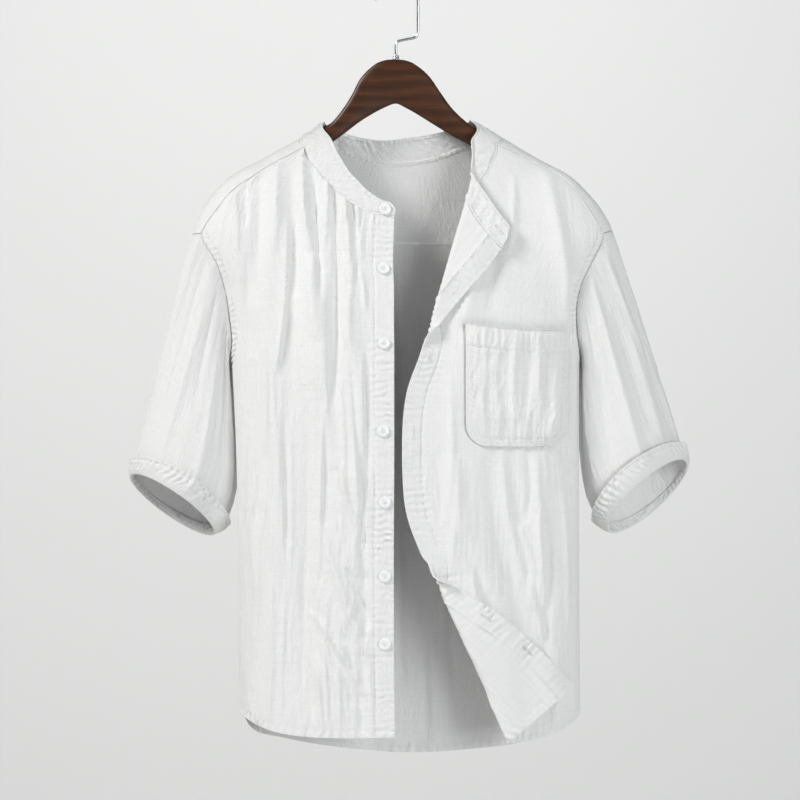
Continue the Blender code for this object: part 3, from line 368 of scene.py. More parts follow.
crinkle = {
    "shares": (1.0, 0.55, 0.3), "height": 0.5,         # of each size, the largest first
    "drift": 7, "driftSize": (45, 60),                 # how far the ridges wander
    "patchLeast": 0.15, "patchGain": 1.1, "patchSize": (50, 90),   # smoother patches between them
}


def crinkles(u, v, seed, spacing=9.0, length=70.0):
    # uneven lengthwise ridges, at three sizes
    wide, tall = crinkle["driftSize"]
    drift = crinkle["drift"] * latticeNoise(u / wide, v / tall, seed + 7)
    total = 0.0
    for octave, share in enumerate(crinkle["shares"]):
        size = 2.0 ** octave
        noise = latticeNoise((u + drift) * size / spacing, v * size / length, seed + octave)
        total = total + share * (1 - 2 * np.abs(noise))
    wide, tall = crinkle["patchSize"]
    patch = smooth(0.5 + crinkle["patchGain"] * latticeNoise(u / wide, v / tall, seed + 5))
    patch = crinkle["patchLeast"] + (1 - crinkle["patchLeast"]) * patch
    return total * patch * crinkle["height"]


def distanceTo(points, line):
    nearest = np.full(points.shape[:-1], 1e9)
    for place in line:
        offset = points - place
        nearest = np.minimum(nearest, np.einsum("...k,...k", offset, offset))
    return np.sqrt(nearest)


around = 134.0           # cloth round the body for each radian of the tube's angle
bodyCloth = {
    "frontY": -48, "backY": 28, "sideEase": 60,        # where the cloth turns back at the sides
    "backShift": 400, "neckFade": 16, "foldFade": 2.2, "armFade": 20, "armLeast": 0.12,
}


def tubeLine(name, count=260):
    line = seamLine(name, count)
    return tubePoint(line[:, 0], line[:, 1])


def acrossCloth(point):
    # how far round the cloth a place lies from the middle of the front or back
    x, y = point[..., 0], point[..., 1]
    depth = np.minimum(np.abs(y - bodyCloth["frontY"]), np.abs(y - bodyCloth["backY"]))
    return x + depth * np.tanh(x / bodyCloth["sideEase"])


def bodyRelief(angle, z, frontTable, strength):
    # creases and crinkles of a body panel, fading at the shoulders, folds and armholes
    point = tubePoint(angle, z)
    x = point[..., 0]
    isFront = np.sin(angle) >= 0
    total = np.where(isFront, creaseSum(frontTable, x, z), creaseSum(creases["back"], x, z))
    across = acrossCloth(point) + bodyCloth["backShift"] * (1 - isFront)
    total = total + strength * crinkles(across, z, 3)
    total = total * smooth((shoulder["neckZ"] - z) / bodyCloth["neckFade"])
    total = total * smooth(np.abs(np.sin(angle)) * bodyCloth["foldFade"])
    arms = np.full(x.shape, 1e9)
    for name in ("armFrontLeft", "armBackLeft", "armFrontRight", "armBackRight"):
        arms = np.minimum(arms, distanceTo(point, tubeLine(name, 70)))
    least = bodyCloth["armLeast"]
    return total * (least + (1 - least) * smooth(arms / bodyCloth["armFade"]))


def seamBand(distance, along, width, dip=0.3, pucker=0.3, pitch=6.5, seed=0):
    # a sewn band beside an edge: a dip at its stitches and puckers across it
    stitched = -dip * np.exp(-((distance - width + 0.8) / 0.9) ** 2)
    wave = np.sin(along * 2 * math.pi / pitch + 2.2 * latticeNoise(along / 14, distance / 9, seed))
    wave = wave * (0.5 + 0.5 * latticeNoise(along / 22, distance * 0, seed + 3))
    return stitched + pucker * wave * np.exp(-((distance - width * 0.62) / (width * 0.75)) ** 2)


# ---- meshes
def wallMesh(name, outer, inner, flatPlaces, ring=False):
    # a closed thin wall between two grids of points, with the cloth's own flat coordinates
    rows, columns = outer.shape[:2]
    index = np.arange(rows * columns).reshape(rows, columns)
    if ring:
        index = np.concatenate([index, index[:, :1]], 1)
    a, b = index[:-1, :-1], index[:-1, 1:]
    c, d = index[1:, 1:], index[1:, :-1]
    shift = rows * columns
    quads = [np.stack([a, b, c, d], -1).reshape(-1, 4),
             np.stack([a, d, c, b], -1).reshape(-1, 4) + shift]
    top, foot = index[0], index[-1]
    quads.append(np.stack([top[1:], top[:-1], top[:-1] + shift, top[1:] + shift], -1))
    quads.append(np.stack([foot[:-1], foot[1:], foot[1:] + shift, foot[:-1] + shift], -1))
    if not ring:
        first, last = index[:, 0], index[:, -1]
        quads.append(np.stack([first[:-1], first[1:], first[1:] + shift, first[:-1] + shift], -1))
        quads.append(np.stack([last[1:], last[:-1], last[:-1] + shift, last[1:] + shift], -1))
    quads = np.concatenate(quads)
    middle = rows // 2, columns // 2
    step = outer[middle[0], middle[1] + 1] - outer[middle]
    down = outer[middle[0] + 1, middle[1]] - outer[middle]
    if np.dot(np.cross(step, down), outer[middle] - inner[middle]) < 0:
        quads = quads[:, ::-1]
    points = np.concatenate([outer.reshape(-1, 3), inner.reshape(-1, 3)]) * mm
    mesh = bpy.data.meshes.new(name)
    mesh.from_pydata(points.tolist(), [], quads.tolist())
    mesh.shade_smooth()
    mesh.set_sharp_from_angle(angle=math.radians(55))
    layer = mesh.uv_layers.new(name="cloth")
    corners = np.zeros(len(mesh.loops), np.int32)
    mesh.loops.foreach_get("vertex_index", corners)
    places = np.concatenate([flatPlaces.reshape(-1, 2)] * 2)[corners] * mm
    layer.uv.foreach_set("vector", places.astype(np.float32).ravel())
    piece = bpy.data.objects.new(name, mesh)
    bpy.context.collection.objects.link(piece)
    return piece


def drawIn(grid, amount):
    # the four edges stop short of the seam lines
    edges = ((0, 1), (-1, -2))
    for edge, inner in edges:
        grid[edge] = grid[edge] + unit(grid[inner] - grid[edge]) * amount
    for edge, inner in edges:
        grid[:, edge] = grid[:, edge] + unit(grid[:, inner] - grid[:, edge]) * amount
    return grid


cloth = {"thickness": 0.8, "seamGap": 0.12}


def dressPanel(name, node, grid, relief, rise=0.0, isTurned=False, lift=0.0):
    # a body piece on its grid of places; relief moves the cloth and rise thickens it
    point, normal = clothPlace(grid[..., 0], grid[..., 1], isTurned)
    half = cloth["thickness"] / 2
    outer = drawIn(point + normal * (lift + relief + rise * 0.4 + half)[..., None], cloth["seamGap"])
    inner = drawIn(point + normal * (lift + relief - rise * 0.6 - half)[..., None], cloth["seamGap"])
    flatPlaces = np.stack([grid[..., 0] * around, grid[..., 1]], -1)
    piece = wallMesh(name, outer, inner, flatPlaces)
    finishPiece(piece, node)
    return {"piece": piece, "outer": outer, "inner": inner, "normal": normal}


def finishPiece(piece, node):
    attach(piece, "root")
    if node:
        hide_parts(node)


def levelLine(wall, distance, level, edge, face="outer"):
    # the line on a finished wall that runs a set distance from one of its edges
    points, normals = wall[face], wall["normal"] * (1 if face == "outer" else -1)
    if edge in ("first", "last"):
        points, normals = points.transpose(1, 0, 2), normals.transpose(1, 0, 2)
        distance = distance.T
    if edge in ("foot", "last"):
        points, normals, distance = points[::-1], normals[::-1], distance[::-1]
    past = distance >= level
    index = past.argmax(0)
    columns = np.nonzero(past.any(0) & (index > 0))[0]
    index = index[columns]
    low, high = distance[index - 1, columns], distance[index, columns]
    part = ((level - low) / np.maximum(high - low, 1e-6))[:, None]
    place = points[index - 1, columns] * (1 - part) + points[index, columns] * part
    return place, unit(normals[index - 1, columns] * (1 - part) + normals[index, columns] * part)


stitch = {
    "pitch": 3.0, "length": 2.3, "width": 0.62, "height": 0.32,
    "inset": 0.8, "edge": 1.6, "armhole": 1.4, "seam": 1.8,   # how far a row lies from its line
}


def stitchesAt(centers, directions, normals, length, width, height):
    # small threads as flattened spindles: points and faces
    ring = np.array([(-0.5, 0, 0), (-0.28, -0.5, 0), (-0.28, 0, 1), (-0.28, 0.5, 0), (-0.28, 0, -0.6),
                     (0.28, -0.5, 0), (0.28, 0, 1), (0.28, 0.5, 0), (0.28, 0, -0.6), (0.5, 0, 0)])
    faces = [(0, 2, 1), (0, 3, 2), (0, 4, 3), (0, 1, 4), (1, 2, 6, 5), (2, 3, 7, 6), (3, 4, 8, 7),
             (4, 1, 5, 8), (9, 5, 6), (9, 6, 7), (9, 7, 8), (9, 8, 5)]
    across = unit(np.cross(normals, directions))
    points = (centers[:, None] + directions[:, None] * (ring[None, :, :1] * length)
              + across[:, None] * (ring[None, :, 1:2] * width)
              + normals[:, None] * (ring[None, :, 2:] * height))
    allFaces = [tuple(i + 10 * n for i in face) for n in range(len(centers)) for face in faces]
    return points.reshape(-1, 3), allFaces


def stitchLine(line, pitch=None):
    points, normals = line
    pitch = pitch or stitch["pitch"]
    lengths = np.concatenate([[0], np.cumsum(np.linalg.norm(np.diff(points, axis=0), axis=1))])
    if lengths[-1] < 3 * pitch:
        return np.zeros((0, 3)), []
    goals = np.arange(pitch * 0.6, lengths[-1] - pitch * 0.5, pitch)

    def at(places, values):
        return np.stack([np.interp(values, lengths, places[:, k]) for k in range(3)], -1)

    half = pitch * 0.35
    directions = unit(at(points, goals + half) - at(points, goals - half))
    return stitchesAt(at(points, goals), directions, unit(at(normals, goals)),
                      stitch["length"] * pitch / stitch["pitch"], stitch["width"], stitch["height"])


def threadPiece(name, parts):
    points, faces, start = [], [], 0
    for partPoints, partFaces in parts:
        points.append(partPoints)
        faces += [tuple(i + start for i in face) for face in partFaces]
        start += len(partPoints)
    mesh = bpy.data.meshes.new(name)
    mesh.from_pydata((np.concatenate(points) * mm).tolist(), [], faces)
    mesh.shade_smooth()
    piece = bpy.data.objects.new(name, mesh)
    bpy.context.collection.objects.link(piece)
    finishPiece(piece, None)
    piece.data.materials.append(materials["thread"])
    return piece


# ---- effects that several materials share
def effectGroup(name, inputs, outputs):
    group = bpy.data.node_groups.new(name, "ShaderNodeTree")
    for label, kind, value in inputs:
        socket = group.interface.new_socket(name=label, in_out="INPUT", socket_type=kind)
        if value is not None:
            socket.default_value = value
    for label, kind in outputs:
        group.interface.new_socket(name=label, in_out="OUTPUT", socket_type=kind)
    return group, group.nodes.new("NodeGroupInput"), group.nodes.new("NodeGroupOutput")


def mathNode(tree, operation, *values):
    node = tree.nodes.new("ShaderNodeMath")
    node.operation = operation
    for socket, value in zip(node.inputs, values):
        if isinstance(value, (int, float)):
            socket.default_value = value
        else:
            tree.links.new(value, socket)
    return node.outputs[0]


def noiseAt(tree, vector, scaleX, scaleY, detail=2.0, scaleZ=0.0):
    # noise over flat coordinates stretched to a width and a length
    mapping = tree.nodes.new("ShaderNodeMapping")
    mapping.inputs["Scale"].default_value = (scaleX, scaleY, scaleZ)
    tree.links.new(vector, mapping.inputs["Vector"])
    noise = tree.nodes.new("ShaderNodeTexNoise")
    noise.inputs["Scale"].default_value = 1.0
    noise.inputs["Detail"].default_value = detail
    tree.links.new(mapping.outputs[0], noise.inputs["Vector"])
    return noise.outputs["Fac"]


def makeWeaveGroup():
    group, source, result = effectGroup(
        "plainWeave", [("Vector", "NodeSocketVector", None), ("Thread Pitch", "NodeSocketFloat", 0.0006),
                       ("Slub", "NodeSocketFloat", 0.6)],
        [("Height", "NodeSocketFloat"), ("Tone", "NodeSocketFloat")])
    split = group.nodes.new("ShaderNodeSeparateXYZ")
    group.links.new(source.outputs["Vector"], split.inputs[0])
    waves = []
    for axis in (0, 1):
        turns = mathNode(group, "DIVIDE", split.outputs[axis], source.outputs["Thread Pitch"])
        waves.append(mathNode(group, "SINE", mathNode(group, "MULTIPLY", turns, math.pi)))
    threads = mathNode(group, "MULTIPLY", waves[0], waves[1])
    warp = noiseAt(group, source.outputs["Vector"], 900.0, 26.0)
    weft = noiseAt(group, source.outputs["Vector"], 26.0, 900.0)
    slubs = mathNode(group, "ADD", warp, weft)
    slubs = mathNode(group, "MULTIPLY", mathNode(group, "SUBTRACT", slubs, 1.0), source.outputs["Slub"])
    height = mathNode(group, "ADD", mathNode(group, "MULTIPLY", threads, 0.35),
                      mathNode(group, "MULTIPLY", slubs, 2.4))
    group.links.new(height, result.inputs["Height"])
    group.links.new(mathNode(group, "ADD", slubs, 0.5), result.inputs["Tone"])
    return group


def makeCrinkleGroup():
    group, source, result = effectGroup(
        "softCrinkle", [("Vector", "NodeSocketVector", None), ("Across", "NodeSocketFloat", 190.0),
                        ("Along", "NodeSocketFloat", 42.0)],
        [("Height", "NodeSocketFloat")])
    split = group.nodes.new("ShaderNodeSeparateXYZ")
    group.links.new(source.outputs["Vector"], split.inputs[0])
    drift = noiseAt(group, source.outputs["Vector"], 40.0, 30.0, 1.0)
    total = None
    for size, share in ((1.0, 1.0), (2.3, 0.5)):
        across = mathNode(group, "MULTIPLY", split.outputs[0], source.outputs["Across"])
        across = mathNode(group, "MULTIPLY", mathNode(group, "ADD", across, drift), size)
        along = mathNode(group, "MULTIPLY", mathNode(group, "MULTIPLY", split.outputs[1],
                                                     source.outputs["Along"]), size)
        place = group.nodes.new("ShaderNodeCombineXYZ")
        group.links.new(across, place.inputs[0])
        group.links.new(along, place.inputs[1])
        place.inputs[2].default_value = size
        noise = noiseAt(group, place.outputs[0], 1.0, 1.0, 1.5, 1.0)
        ridge = mathNode(group, "ABSOLUTE", mathNode(group, "SUBTRACT", noise, 0.5))
        ridge = mathNode(group, "MULTIPLY", ridge, share)
        total = ridge if total is None else mathNode(group, "ADD", total, ridge)
    grain = mathNode(group, "MULTIPLY", noiseAt(group, source.outputs["Vector"], 560.0, 500.0), 0.34)
    total = mathNode(group, "ADD", total, grain)
    group.links.new(mathNode(group, "SUBTRACT", 1.0, total), result.inputs["Height"])
    return group


def makeGrainGroup():
    group, source, result = effectGroup(
        "woodGrain", [("Vector", "NodeSocketVector", None), ("Bands", "NodeSocketFloat", 260.0)],
        [("Tone", "NodeSocketFloat"), ("Pores", "NodeSocketFloat")])
    split = group.nodes.new("ShaderNodeSeparateXYZ")
    group.links.new(source.outputs["Vector"], split.inputs[0])
    drift = noiseAt(group, source.outputs["Vector"], 9.0, 30.0, 3.0, 30.0)
    lift = mathNode(group, "ADD", mathNode(group, "MULTIPLY", split.outputs[2], source.outputs["Bands"]),
                    mathNode(group, "MULTIPLY", drift, 9.0))
    bands = mathNode(group, "MULTIPLY", mathNode(group, "ADD", mathNode(group, "SINE", lift), 1.0), 0.5)
    streaks = noiseAt(group, source.outputs["Vector"], 14.0, 500.0, 4.0, 500.0)
    pores = noiseAt(group, source.outputs["Vector"], 60.0, 1800.0, 2.0, 1800.0)
    tone = mathNode(group, "ADD", mathNode(group, "MULTIPLY", bands, 0.4),
                    mathNode(group, "MULTIPLY", streaks, 0.75))
    group.links.new(tone, result.inputs["Tone"])
    group.links.new(pores, result.inputs["Pores"])
    return group


groups = {"weave": makeWeaveGroup(), "crinkle": makeCrinkleGroup(), "grain": makeGrainGroup()}
print("shared effects made")


def newMaterial(name, color, roughness, metallic=0.0):
    made = bpy.data.materials.new(name)
    made.use_nodes = True
    shader = made.node_tree.nodes["Principled BSDF"]
    shader.inputs["Base Color"].default_value = (*color, 1.0)
    shader.inputs["Roughness"].default_value = roughness
    shader.inputs["Metallic"].default_value = metallic
    return made, made.node_tree, shader


def placeGroup(tree, group, vector, **values):
    node = tree.nodes.new("ShaderNodeGroup")
    node.node_tree = group
    tree.links.new(vector, node.inputs["Vector"])
    for label, value in values.items():
        node.inputs[label.replace("_", " ")].default_value = value
    return node


def ramp(tree, value, stops):
    node = tree.nodes.new("ShaderNodeValToRGB")
    tree.links.new(value, node.inputs["Fac"])
    elements = node.color_ramp.elements
    for index, (place, color) in enumerate(stops):
        element = elements[index] if index < 2 else elements.new(place)
        element.position = place
        element.color = (*color, 1.0)
    return node.outputs["Color"]


def bumpNode(tree, height, distance, strength=1.0, normal=None):
    bump = tree.nodes.new("ShaderNodeBump")
    bump.inputs["Distance"].default_value = distance
    bump.inputs["Strength"].default_value = strength
    tree.links.new(height, bump.inputs["Height"])
    if normal:
        tree.links.new(normal, bump.inputs["Normal"])
    return bump.outputs["Normal"]


linen = {
    "light": (0.84, 0.842, 0.832), "dark": (0.765, 0.768, 0.757),
    "roughness": 0.88, "sheen": 0.12, "sheenRoughness": 0.5,
    "threadPitch": 0.0006, "slub": 0.6, "weaveDepth": 0.00016, "specular": 0.25,   # depths in metres
}


def linenMaterial(name, crinkleDepth, across=190.0, along=42.0):
    made, tree, shader = newMaterial(name, linen["light"], linen["roughness"])
    shader.inputs["Sheen Weight"].default_value = linen["sheen"]
    shader.inputs["Sheen Roughness"].default_value = linen["sheenRoughness"]
    shader.inputs["Specular IOR Level"].default_value = linen["specular"]
    place = tree.nodes.new("ShaderNodeUVMap")
    place.uv_map = "cloth"
    weave = placeGroup(tree, groups["weave"], place.outputs["UV"],
                       Thread_Pitch=linen["threadPitch"], Slub=linen["slub"])
    crinkled = placeGroup(tree, groups["crinkle"], place.outputs["UV"], Across=across, Along=along)
    tree.links.new(ramp(tree, weave.outputs["Tone"], ((0.2, linen["dark"]), (0.75, linen["light"]))),
                   shader.inputs["Base Color"])
    creased = bumpNode(tree, crinkled.outputs["Height"], crinkleDepth)
    tree.links.new(bumpNode(tree, weave.outputs["Height"], linen["weaveDepth"], 1.0, creased),
                   shader.inputs["Normal"])
    return made


sewingThread = {
    "color": (0.9, 0.9, 0.885), "roughness": 0.7, "twist": 2500.0,
    "tones": ((0.3, (0.8, 0.8, 0.79)), (0.7, (0.93, 0.93, 0.92))),
}


def threadMaterial():
    made, tree, shader = newMaterial("sewingThread", sewingThread["color"], sewingThread["roughness"])
    coordinates = tree.nodes.new("ShaderNodeTexCoord")
    scale = sewingThread["twist"]
    twist = noiseAt(tree, coordinates.outputs["Object"], scale, scale, 1.0, scale)
    tree.links.new(ramp(tree, twist, sewingThread["tones"]), shader.inputs["Base Color"])
    return made


pearl = {
    "color": (0.9, 0.905, 0.91), "roughness": 0.22, "coat": 0.5, "coatRoughness": 0.12, "cloud": 260.0,
    "tones": ((0.3, (0.82, 0.835, 0.85)), (0.7, (0.94, 0.94, 0.935))),
}


def buttonMaterial():
    made, tree, shader = newMaterial("pearlButton", pearl["color"], pearl["roughness"])
    shader.inputs["Coat Weight"].default_value = pearl["coat"]
    shader.inputs["Coat Roughness"].default_value = pearl["coatRoughness"]
    coordinates = tree.nodes.new("ShaderNodeTexCoord")
    cloud = noiseAt(tree, coordinates.outputs["Object"], pearl["cloud"], pearl["cloud"], 3.0, pearl["cloud"])
    tree.links.new(ramp(tree, cloud, pearl["tones"]), shader.inputs["Base Color"])
    return made


wood = {
    "color": (0.12, 0.045, 0.022), "roughness": 0.36, "coat": 0.12, "coatRoughness": 0.25,
    "specular": 0.3, "bands": 420.0, "poreDepth": 0.00012, "roughRange": (0.34, 0.5),
    "tones": ((0.15, (0.030, 0.009, 0.003)), (0.6, (0.058, 0.019, 0.006)), (1.0, (0.098, 0.034, 0.011))),
}


def roughBetween(tree, shader, pattern, least, most):
    # roughness that follows a pattern
    rough = tree.nodes.new("ShaderNodeMapRange")
    rough.inputs["To Min"].default_value = least
    rough.inputs["To Max"].default_value = most
    tree.links.new(pattern, rough.inputs["Value"])
    tree.links.new(rough.outputs["Result"], shader.inputs["Roughness"])


def woodMaterial():
    made, tree, shader = newMaterial("darkWood", wood["color"], wood["roughness"])
    shader.inputs["Coat Weight"].default_value = wood["coat"]
    shader.inputs["Coat Roughness"].default_value = wood["coatRoughness"]
    shader.inputs["Specular IOR Level"].default_value = wood["specular"]
    coordinates = tree.nodes.new("ShaderNodeTexCoord")
    grain = placeGroup(tree, groups["grain"], coordinates.outputs["Object"], Bands=wood["bands"])
    tree.links.new(ramp(tree, grain.outputs["Tone"], wood["tones"]), shader.inputs["Base Color"])
    tree.links.new(bumpNode(tree, grain.outputs["Pores"], wood["poreDepth"]), shader.inputs["Normal"])
    roughBetween(tree, shader, grain.outputs["Pores"], *wood["roughRange"])
    return made


steel = {
    "color": (0.56, 0.57, 0.59), "roughness": 0.24, "drawnAcross": 900.0, "drawnAlong": 60.0,
    "roughRange": (0.16, 0.38), "tones": ((0.25, (0.44, 0.45, 0.47)), (0.75, (0.66, 0.67, 0.69))),
}


def steelMaterial():
    made, tree, shader = newMaterial("brightSteel", steel["color"], steel["roughness"], 1.0)
    coordinates = tree.nodes.new("ShaderNodeTexCoord")
    across, along = steel["drawnAcross"], steel["drawnAlong"]
    drawn = noiseAt(tree, coordinates.outputs["Object"], across, across, 3.0, along)
    roughBetween(tree, shader, drawn, *steel["roughRange"])
    tree.links.new(ramp(tree, drawn, steel["tones"]), shader.inputs["Base Color"])
    return made


materials = {
    "body": linenMaterial("linenBody", 0.0013), "smooth": linenMaterial("linenSmooth", 0.0007),
    "sleeve": linenMaterial("linenSleeve", 0.0016, 150.0, 34.0),
    "trim": linenMaterial("linenTrim", 0.0014, 230.0, 150.0),
    "thread": threadMaterial(), "button": buttonMaterial(),
    "wood": woodMaterial(), "steel": steelMaterial(),
}
print("materials made")


def declare(wall, material):
    wall["piece"].data.materials.append(materials[material])


front = {
    "placket": 23.0, "fold": 8.0, "hem": 7.0, "armSeam": 7.0, "yokeSeam": 2.5,
    # dip at the stitches, height of the puckers, their pitch
    "placketSewn": (1.1, 0.8, 7.6), "foldSewn": (0.3, 0.9, 6.8), "hemSewn": (0.9, 1.3, 7.5),
    "armSewn": (1.0, 1.1, 6.5), "yokeSewn": (0.2, 0.7, 8.0),
    "placketFlat": 0.72, "placketCrinkle": 0.9, "layerRise": 0.6, "armRise": 0.5, "layerEase": 1.2,
    "yokeDip": 0.7, "edgeLift": 2.2, "pocketDip": 1.3, "mouthDip": 2.4,
    "crinkleRight": 2.5, "crinkleLeft": 1.3, "smoothTop": (-420.0, 130.0),
    "topColumns": (81, 68), "armRows": 90, "sideRows": 165, "haste": 3,
}


def frontRelief(point, grid, name, side, strength, seed):
    # relief and thickening of a front, with the distances its stitches need
    relief = bodyRelief(grid[..., 0], grid[..., 1], creases[name], strength)
    away = {key: distanceTo(point, tubeLine(seam + side)) for key, seam in
            (("edge", "edge"), ("hem", "hemFront"), ("arm", "armFront"), ("yoke", "yokeFront"))}
    along, z = grid[..., 0] * around, grid[..., 1]
    relief = relief * smooth(away["yoke"] / 9 + 0.1)
    placket = smooth((front["placket"] - away["edge"]) / 2.0)
    relief = relief * (1 - front["placketFlat"] * placket)
    relief += placket * front["placketCrinkle"] * crinkles(-z, along, seed, 6.0, 20.0)
    if name == "frontLeft":
        relief += front["edgeLift"] * smooth(1 - away["edge"] / front["placket"]) * smooth(away["yoke"] / 60)
    relief += seamBand(away["edge"], z, front["placket"], *front["placketSewn"], seed)
    relief += seamBand(away["edge"], z, front["fold"], *front["foldSewn"], seed + 5)
    relief = relief * smooth(away["hem"] / 10 + 0.35)
    relief += seamBand(away["hem"], along, front["hem"], *front["hemSewn"], seed + 20)
    relief += seamBand(away["arm"], z, front["armSeam"], *front["armSewn"], seed + 40)
    relief += seamBand(away["yoke"], along, front["yokeSeam"], *front["yokeSewn"], seed + 60)
    relief -= front["yokeDip"] * np.exp(-(away["yoke"] / 2.0) ** 2)
    rise = front["layerRise"] * placket
    rise += front["layerRise"] * smooth((front["hem"] - away["hem"]) / front["layerEase"])
    rise += front["armRise"] * smooth((front["armSeam"] - away["arm"]) / front["layerEase"])
    return relief, rise, away


def leftStrength(z):
    # the left front is smoother over and beside the pocket's top
    level, spread = front["smoothTop"]
    return front["crinkleLeft"] * (0.25 + 0.75 * smooth((level - z) / spread))


pocket = {"left": 78.5, "right": 193.0, "top": -412.5, "foot": -552.0, "corner": 26.0,
          "lift": 1.9, "sag": 4.0, "tilt": 7.0, "lean": 5.0, "columns": 76, "rows": 72, "cornerRows": 18,
          "topHem": 24.0, "edgeStitches": (1.6, 8.0), "topStitch": 1.0, "gape": 3.6, "turnedEdge": 9.0,
          "edgeSewn": (0.9, 0.95, 6.5), "topSewn": (0.9, 0.8, 7.0), "crinkle": 1.9, "creaseShare": 0.5,
          "puff": 1.2, "edgeRise": 0.3, "topRise": 1.0}


def pocketPlaces():
    # the pocket's grid of angles and heights, drawn in round its lower corners
    left, right, top, foot, radius = (pocket[key] for key in ("left", "right", "top", "foot", "corner"))
    heights = np.concatenate([np.linspace(top, foot + radius, pocket["rows"]),
                              foot + radius - radius * np.sin(np.radians(
                                  np.linspace(0, 90, pocket["cornerRows"] + 1)[1:]))])
    part = np.linspace(0, 1, pocket["columns"] + 1)[None]
    height = heights[:, None]
    below = np.maximum(0, foot + radius - height)
    inward = radius - np.sqrt(np.maximum(0, radius * radius - below * below))
    upper = (height - foot) / (top - foot)
    x = left + inward + (right + pocket["lean"] * upper - left - 2 * inward) * part
    z = height - pocket["sag"] * np.sin(math.pi * part) * upper - pocket["tilt"] * upper * part
    return np.stack([angleAt(x, z, 1), z], -1), x, part


def pocketOutline():
    grid = pocketPlaces()[0]
    outline = np.concatenate([grid[:, 0], grid[-1], grid[::-1, -1]])
    return tubePoint(outline[:, 0], outline[:, 1])


def buildFronts():
    walls = {}
    # side is the photo's, the names are the wearer's
    for node, name, side, isTurned, seed in (("front_right", "frontRight", "Left", False, 12),
                                             ("front_left", "frontLeft", "Right", True, 11)):
        neckCount, yokeCount = front["topColumns"]
        top = joined(seamLine("neck" + side, neckCount), seamLine("yokeFront" + side, yokeCount))
        hem = seamLine("hemFront" + side, len(top) - 1)
        arm = seamLine("armFront" + side, front["armRows"])
        last = joined(arm, straight(arm[-1], hem[-1], front["sideRows"]))
        first = seamLine("edge" + side, len(last) - 1)
        grid = between(top, hem, first, last, front["haste"])
        point = tubePoint(grid[..., 0], grid[..., 1])
        strength = leftStrength(grid[..., 1]) if isTurned else front["crinkleRight"]
        relief, rise, away = frontRelief(point, grid, name, side, strength, seed)
        if isTurned:
            drawn = distanceTo(point, pocketOutline())
            relief = relief - front["pocketDip"] * np.exp(-(drawn / 2.4) ** 2)
            mouth = distanceTo(point, tubePoint(*pocketPlaces()[0][0].T))
            relief = relief - front["mouthDip"] * np.exp(-(mouth / 7) ** 2)
        wall = dressPanel(name, node, grid, relief, rise, isTurned)
        declare(wall, "smooth" if isTurned else "body")
        threads = [stitchLine(levelLine(wall, away[seam], level, edge, face))
                   for seam, level, edge in (("edge", front["placket"] - stitch["inset"], "first"),
                                             ("edge", stitch["edge"], "first"),
                                             ("hem", front["hem"] - stitch["inset"], "foot"))
                   for face in ("outer", "inner")]
        threads += [stitchLine(levelLine(wall, away["arm"], level, "last"))
                    for level in (front["armSeam"] - stitch["inset"], stitch["armhole"])]
        threadPiece("stitches" + name[0].upper() + name[1:], threads)
        walls[node] = {**wall, "away": away, "grid": grid}
    return walls


fronts = buildFronts()
print("fronts dressed")


back = {
    "columns": 132, "armRows": 54, "sideRows": 130, "crinkle": 0.8, "hem": 7.0, "yokeSeam": 2.0,
    "hemSewn": (0.9, 1.3, 7.5), "yokeSewn": (0.2, 0.45, 8.0), "yokeDip": 0.6,
    "layerRise": 0.6, "layerEase": 1.2,
}


def buildBack():
    top = seamLine("yokeBack", back["columns"])
    hem = seamLine("hemBack", back["columns"])
    sides = []
    for side, end in (("Left", 0), ("Right", -1)):
        arm = seamLine("armBack" + side, back["armRows"])
        sides.append(joined(arm, straight(arm[-1], hem[end], back["sideRows"])))
    grid = between(top, hem, sides[0], sides[1])
    point = tubePoint(grid[..., 0], grid[..., 1])
    relief = bodyRelief(grid[..., 0], grid[..., 1], creases["frontRight"], back["crinkle"])
    away = {key: distanceTo(point, tubeLine(seam)) for key, seam in
            (("hem", "hemBack"), ("yoke", "yokeBack"), ("left", "armBackLeft"), ("right", "armBackRight"))}
    along = grid[..., 0] * around
    relief = relief * smooth(away["hem"] / 10 + 0.35) * smooth(away["yoke"] / 10 + 0.15)
    relief += seamBand(away["hem"], along, back["hem"], *back["hemSewn"], 80)
    relief += seamBand(away["yoke"], along, back["yokeSeam"], *back["yokeSewn"], 81)
    relief -= back["yokeDip"] * np.exp(-(away["yoke"] / 2.0) ** 2)
    rise = back["layerRise"] * smooth((back["hem"] - away["hem"]) / back["layerEase"])
    wall = dressPanel("backPanel", "back", grid, relief, rise)
    declare(wall, "body")
    threads = [stitchLine(levelLine(wall, away["hem"], back["hem"] - stitch["inset"], "foot", face))
               for face in ("outer", "inner")]
    threads += [stitchLine(levelLine(wall, away[side], stitch["armhole"], edge))
                for side, edge in (("left", "first"), ("right", "last"))]
    threadPiece("stitchesBack", threads)


buildBack()
print("back dressed")


yoke = {
    "fine": 6, "rows": 42, "ridge": 3, "corner": 5, "back": 20,
    "crinkle": 0.5, "calm": 0.35, "seam": 2.6, "seamSewn": (0.35, 0.2, 9.0),
    "turning": 3.4, "turningRise": 0.9, "stitchTrim": 12,
}


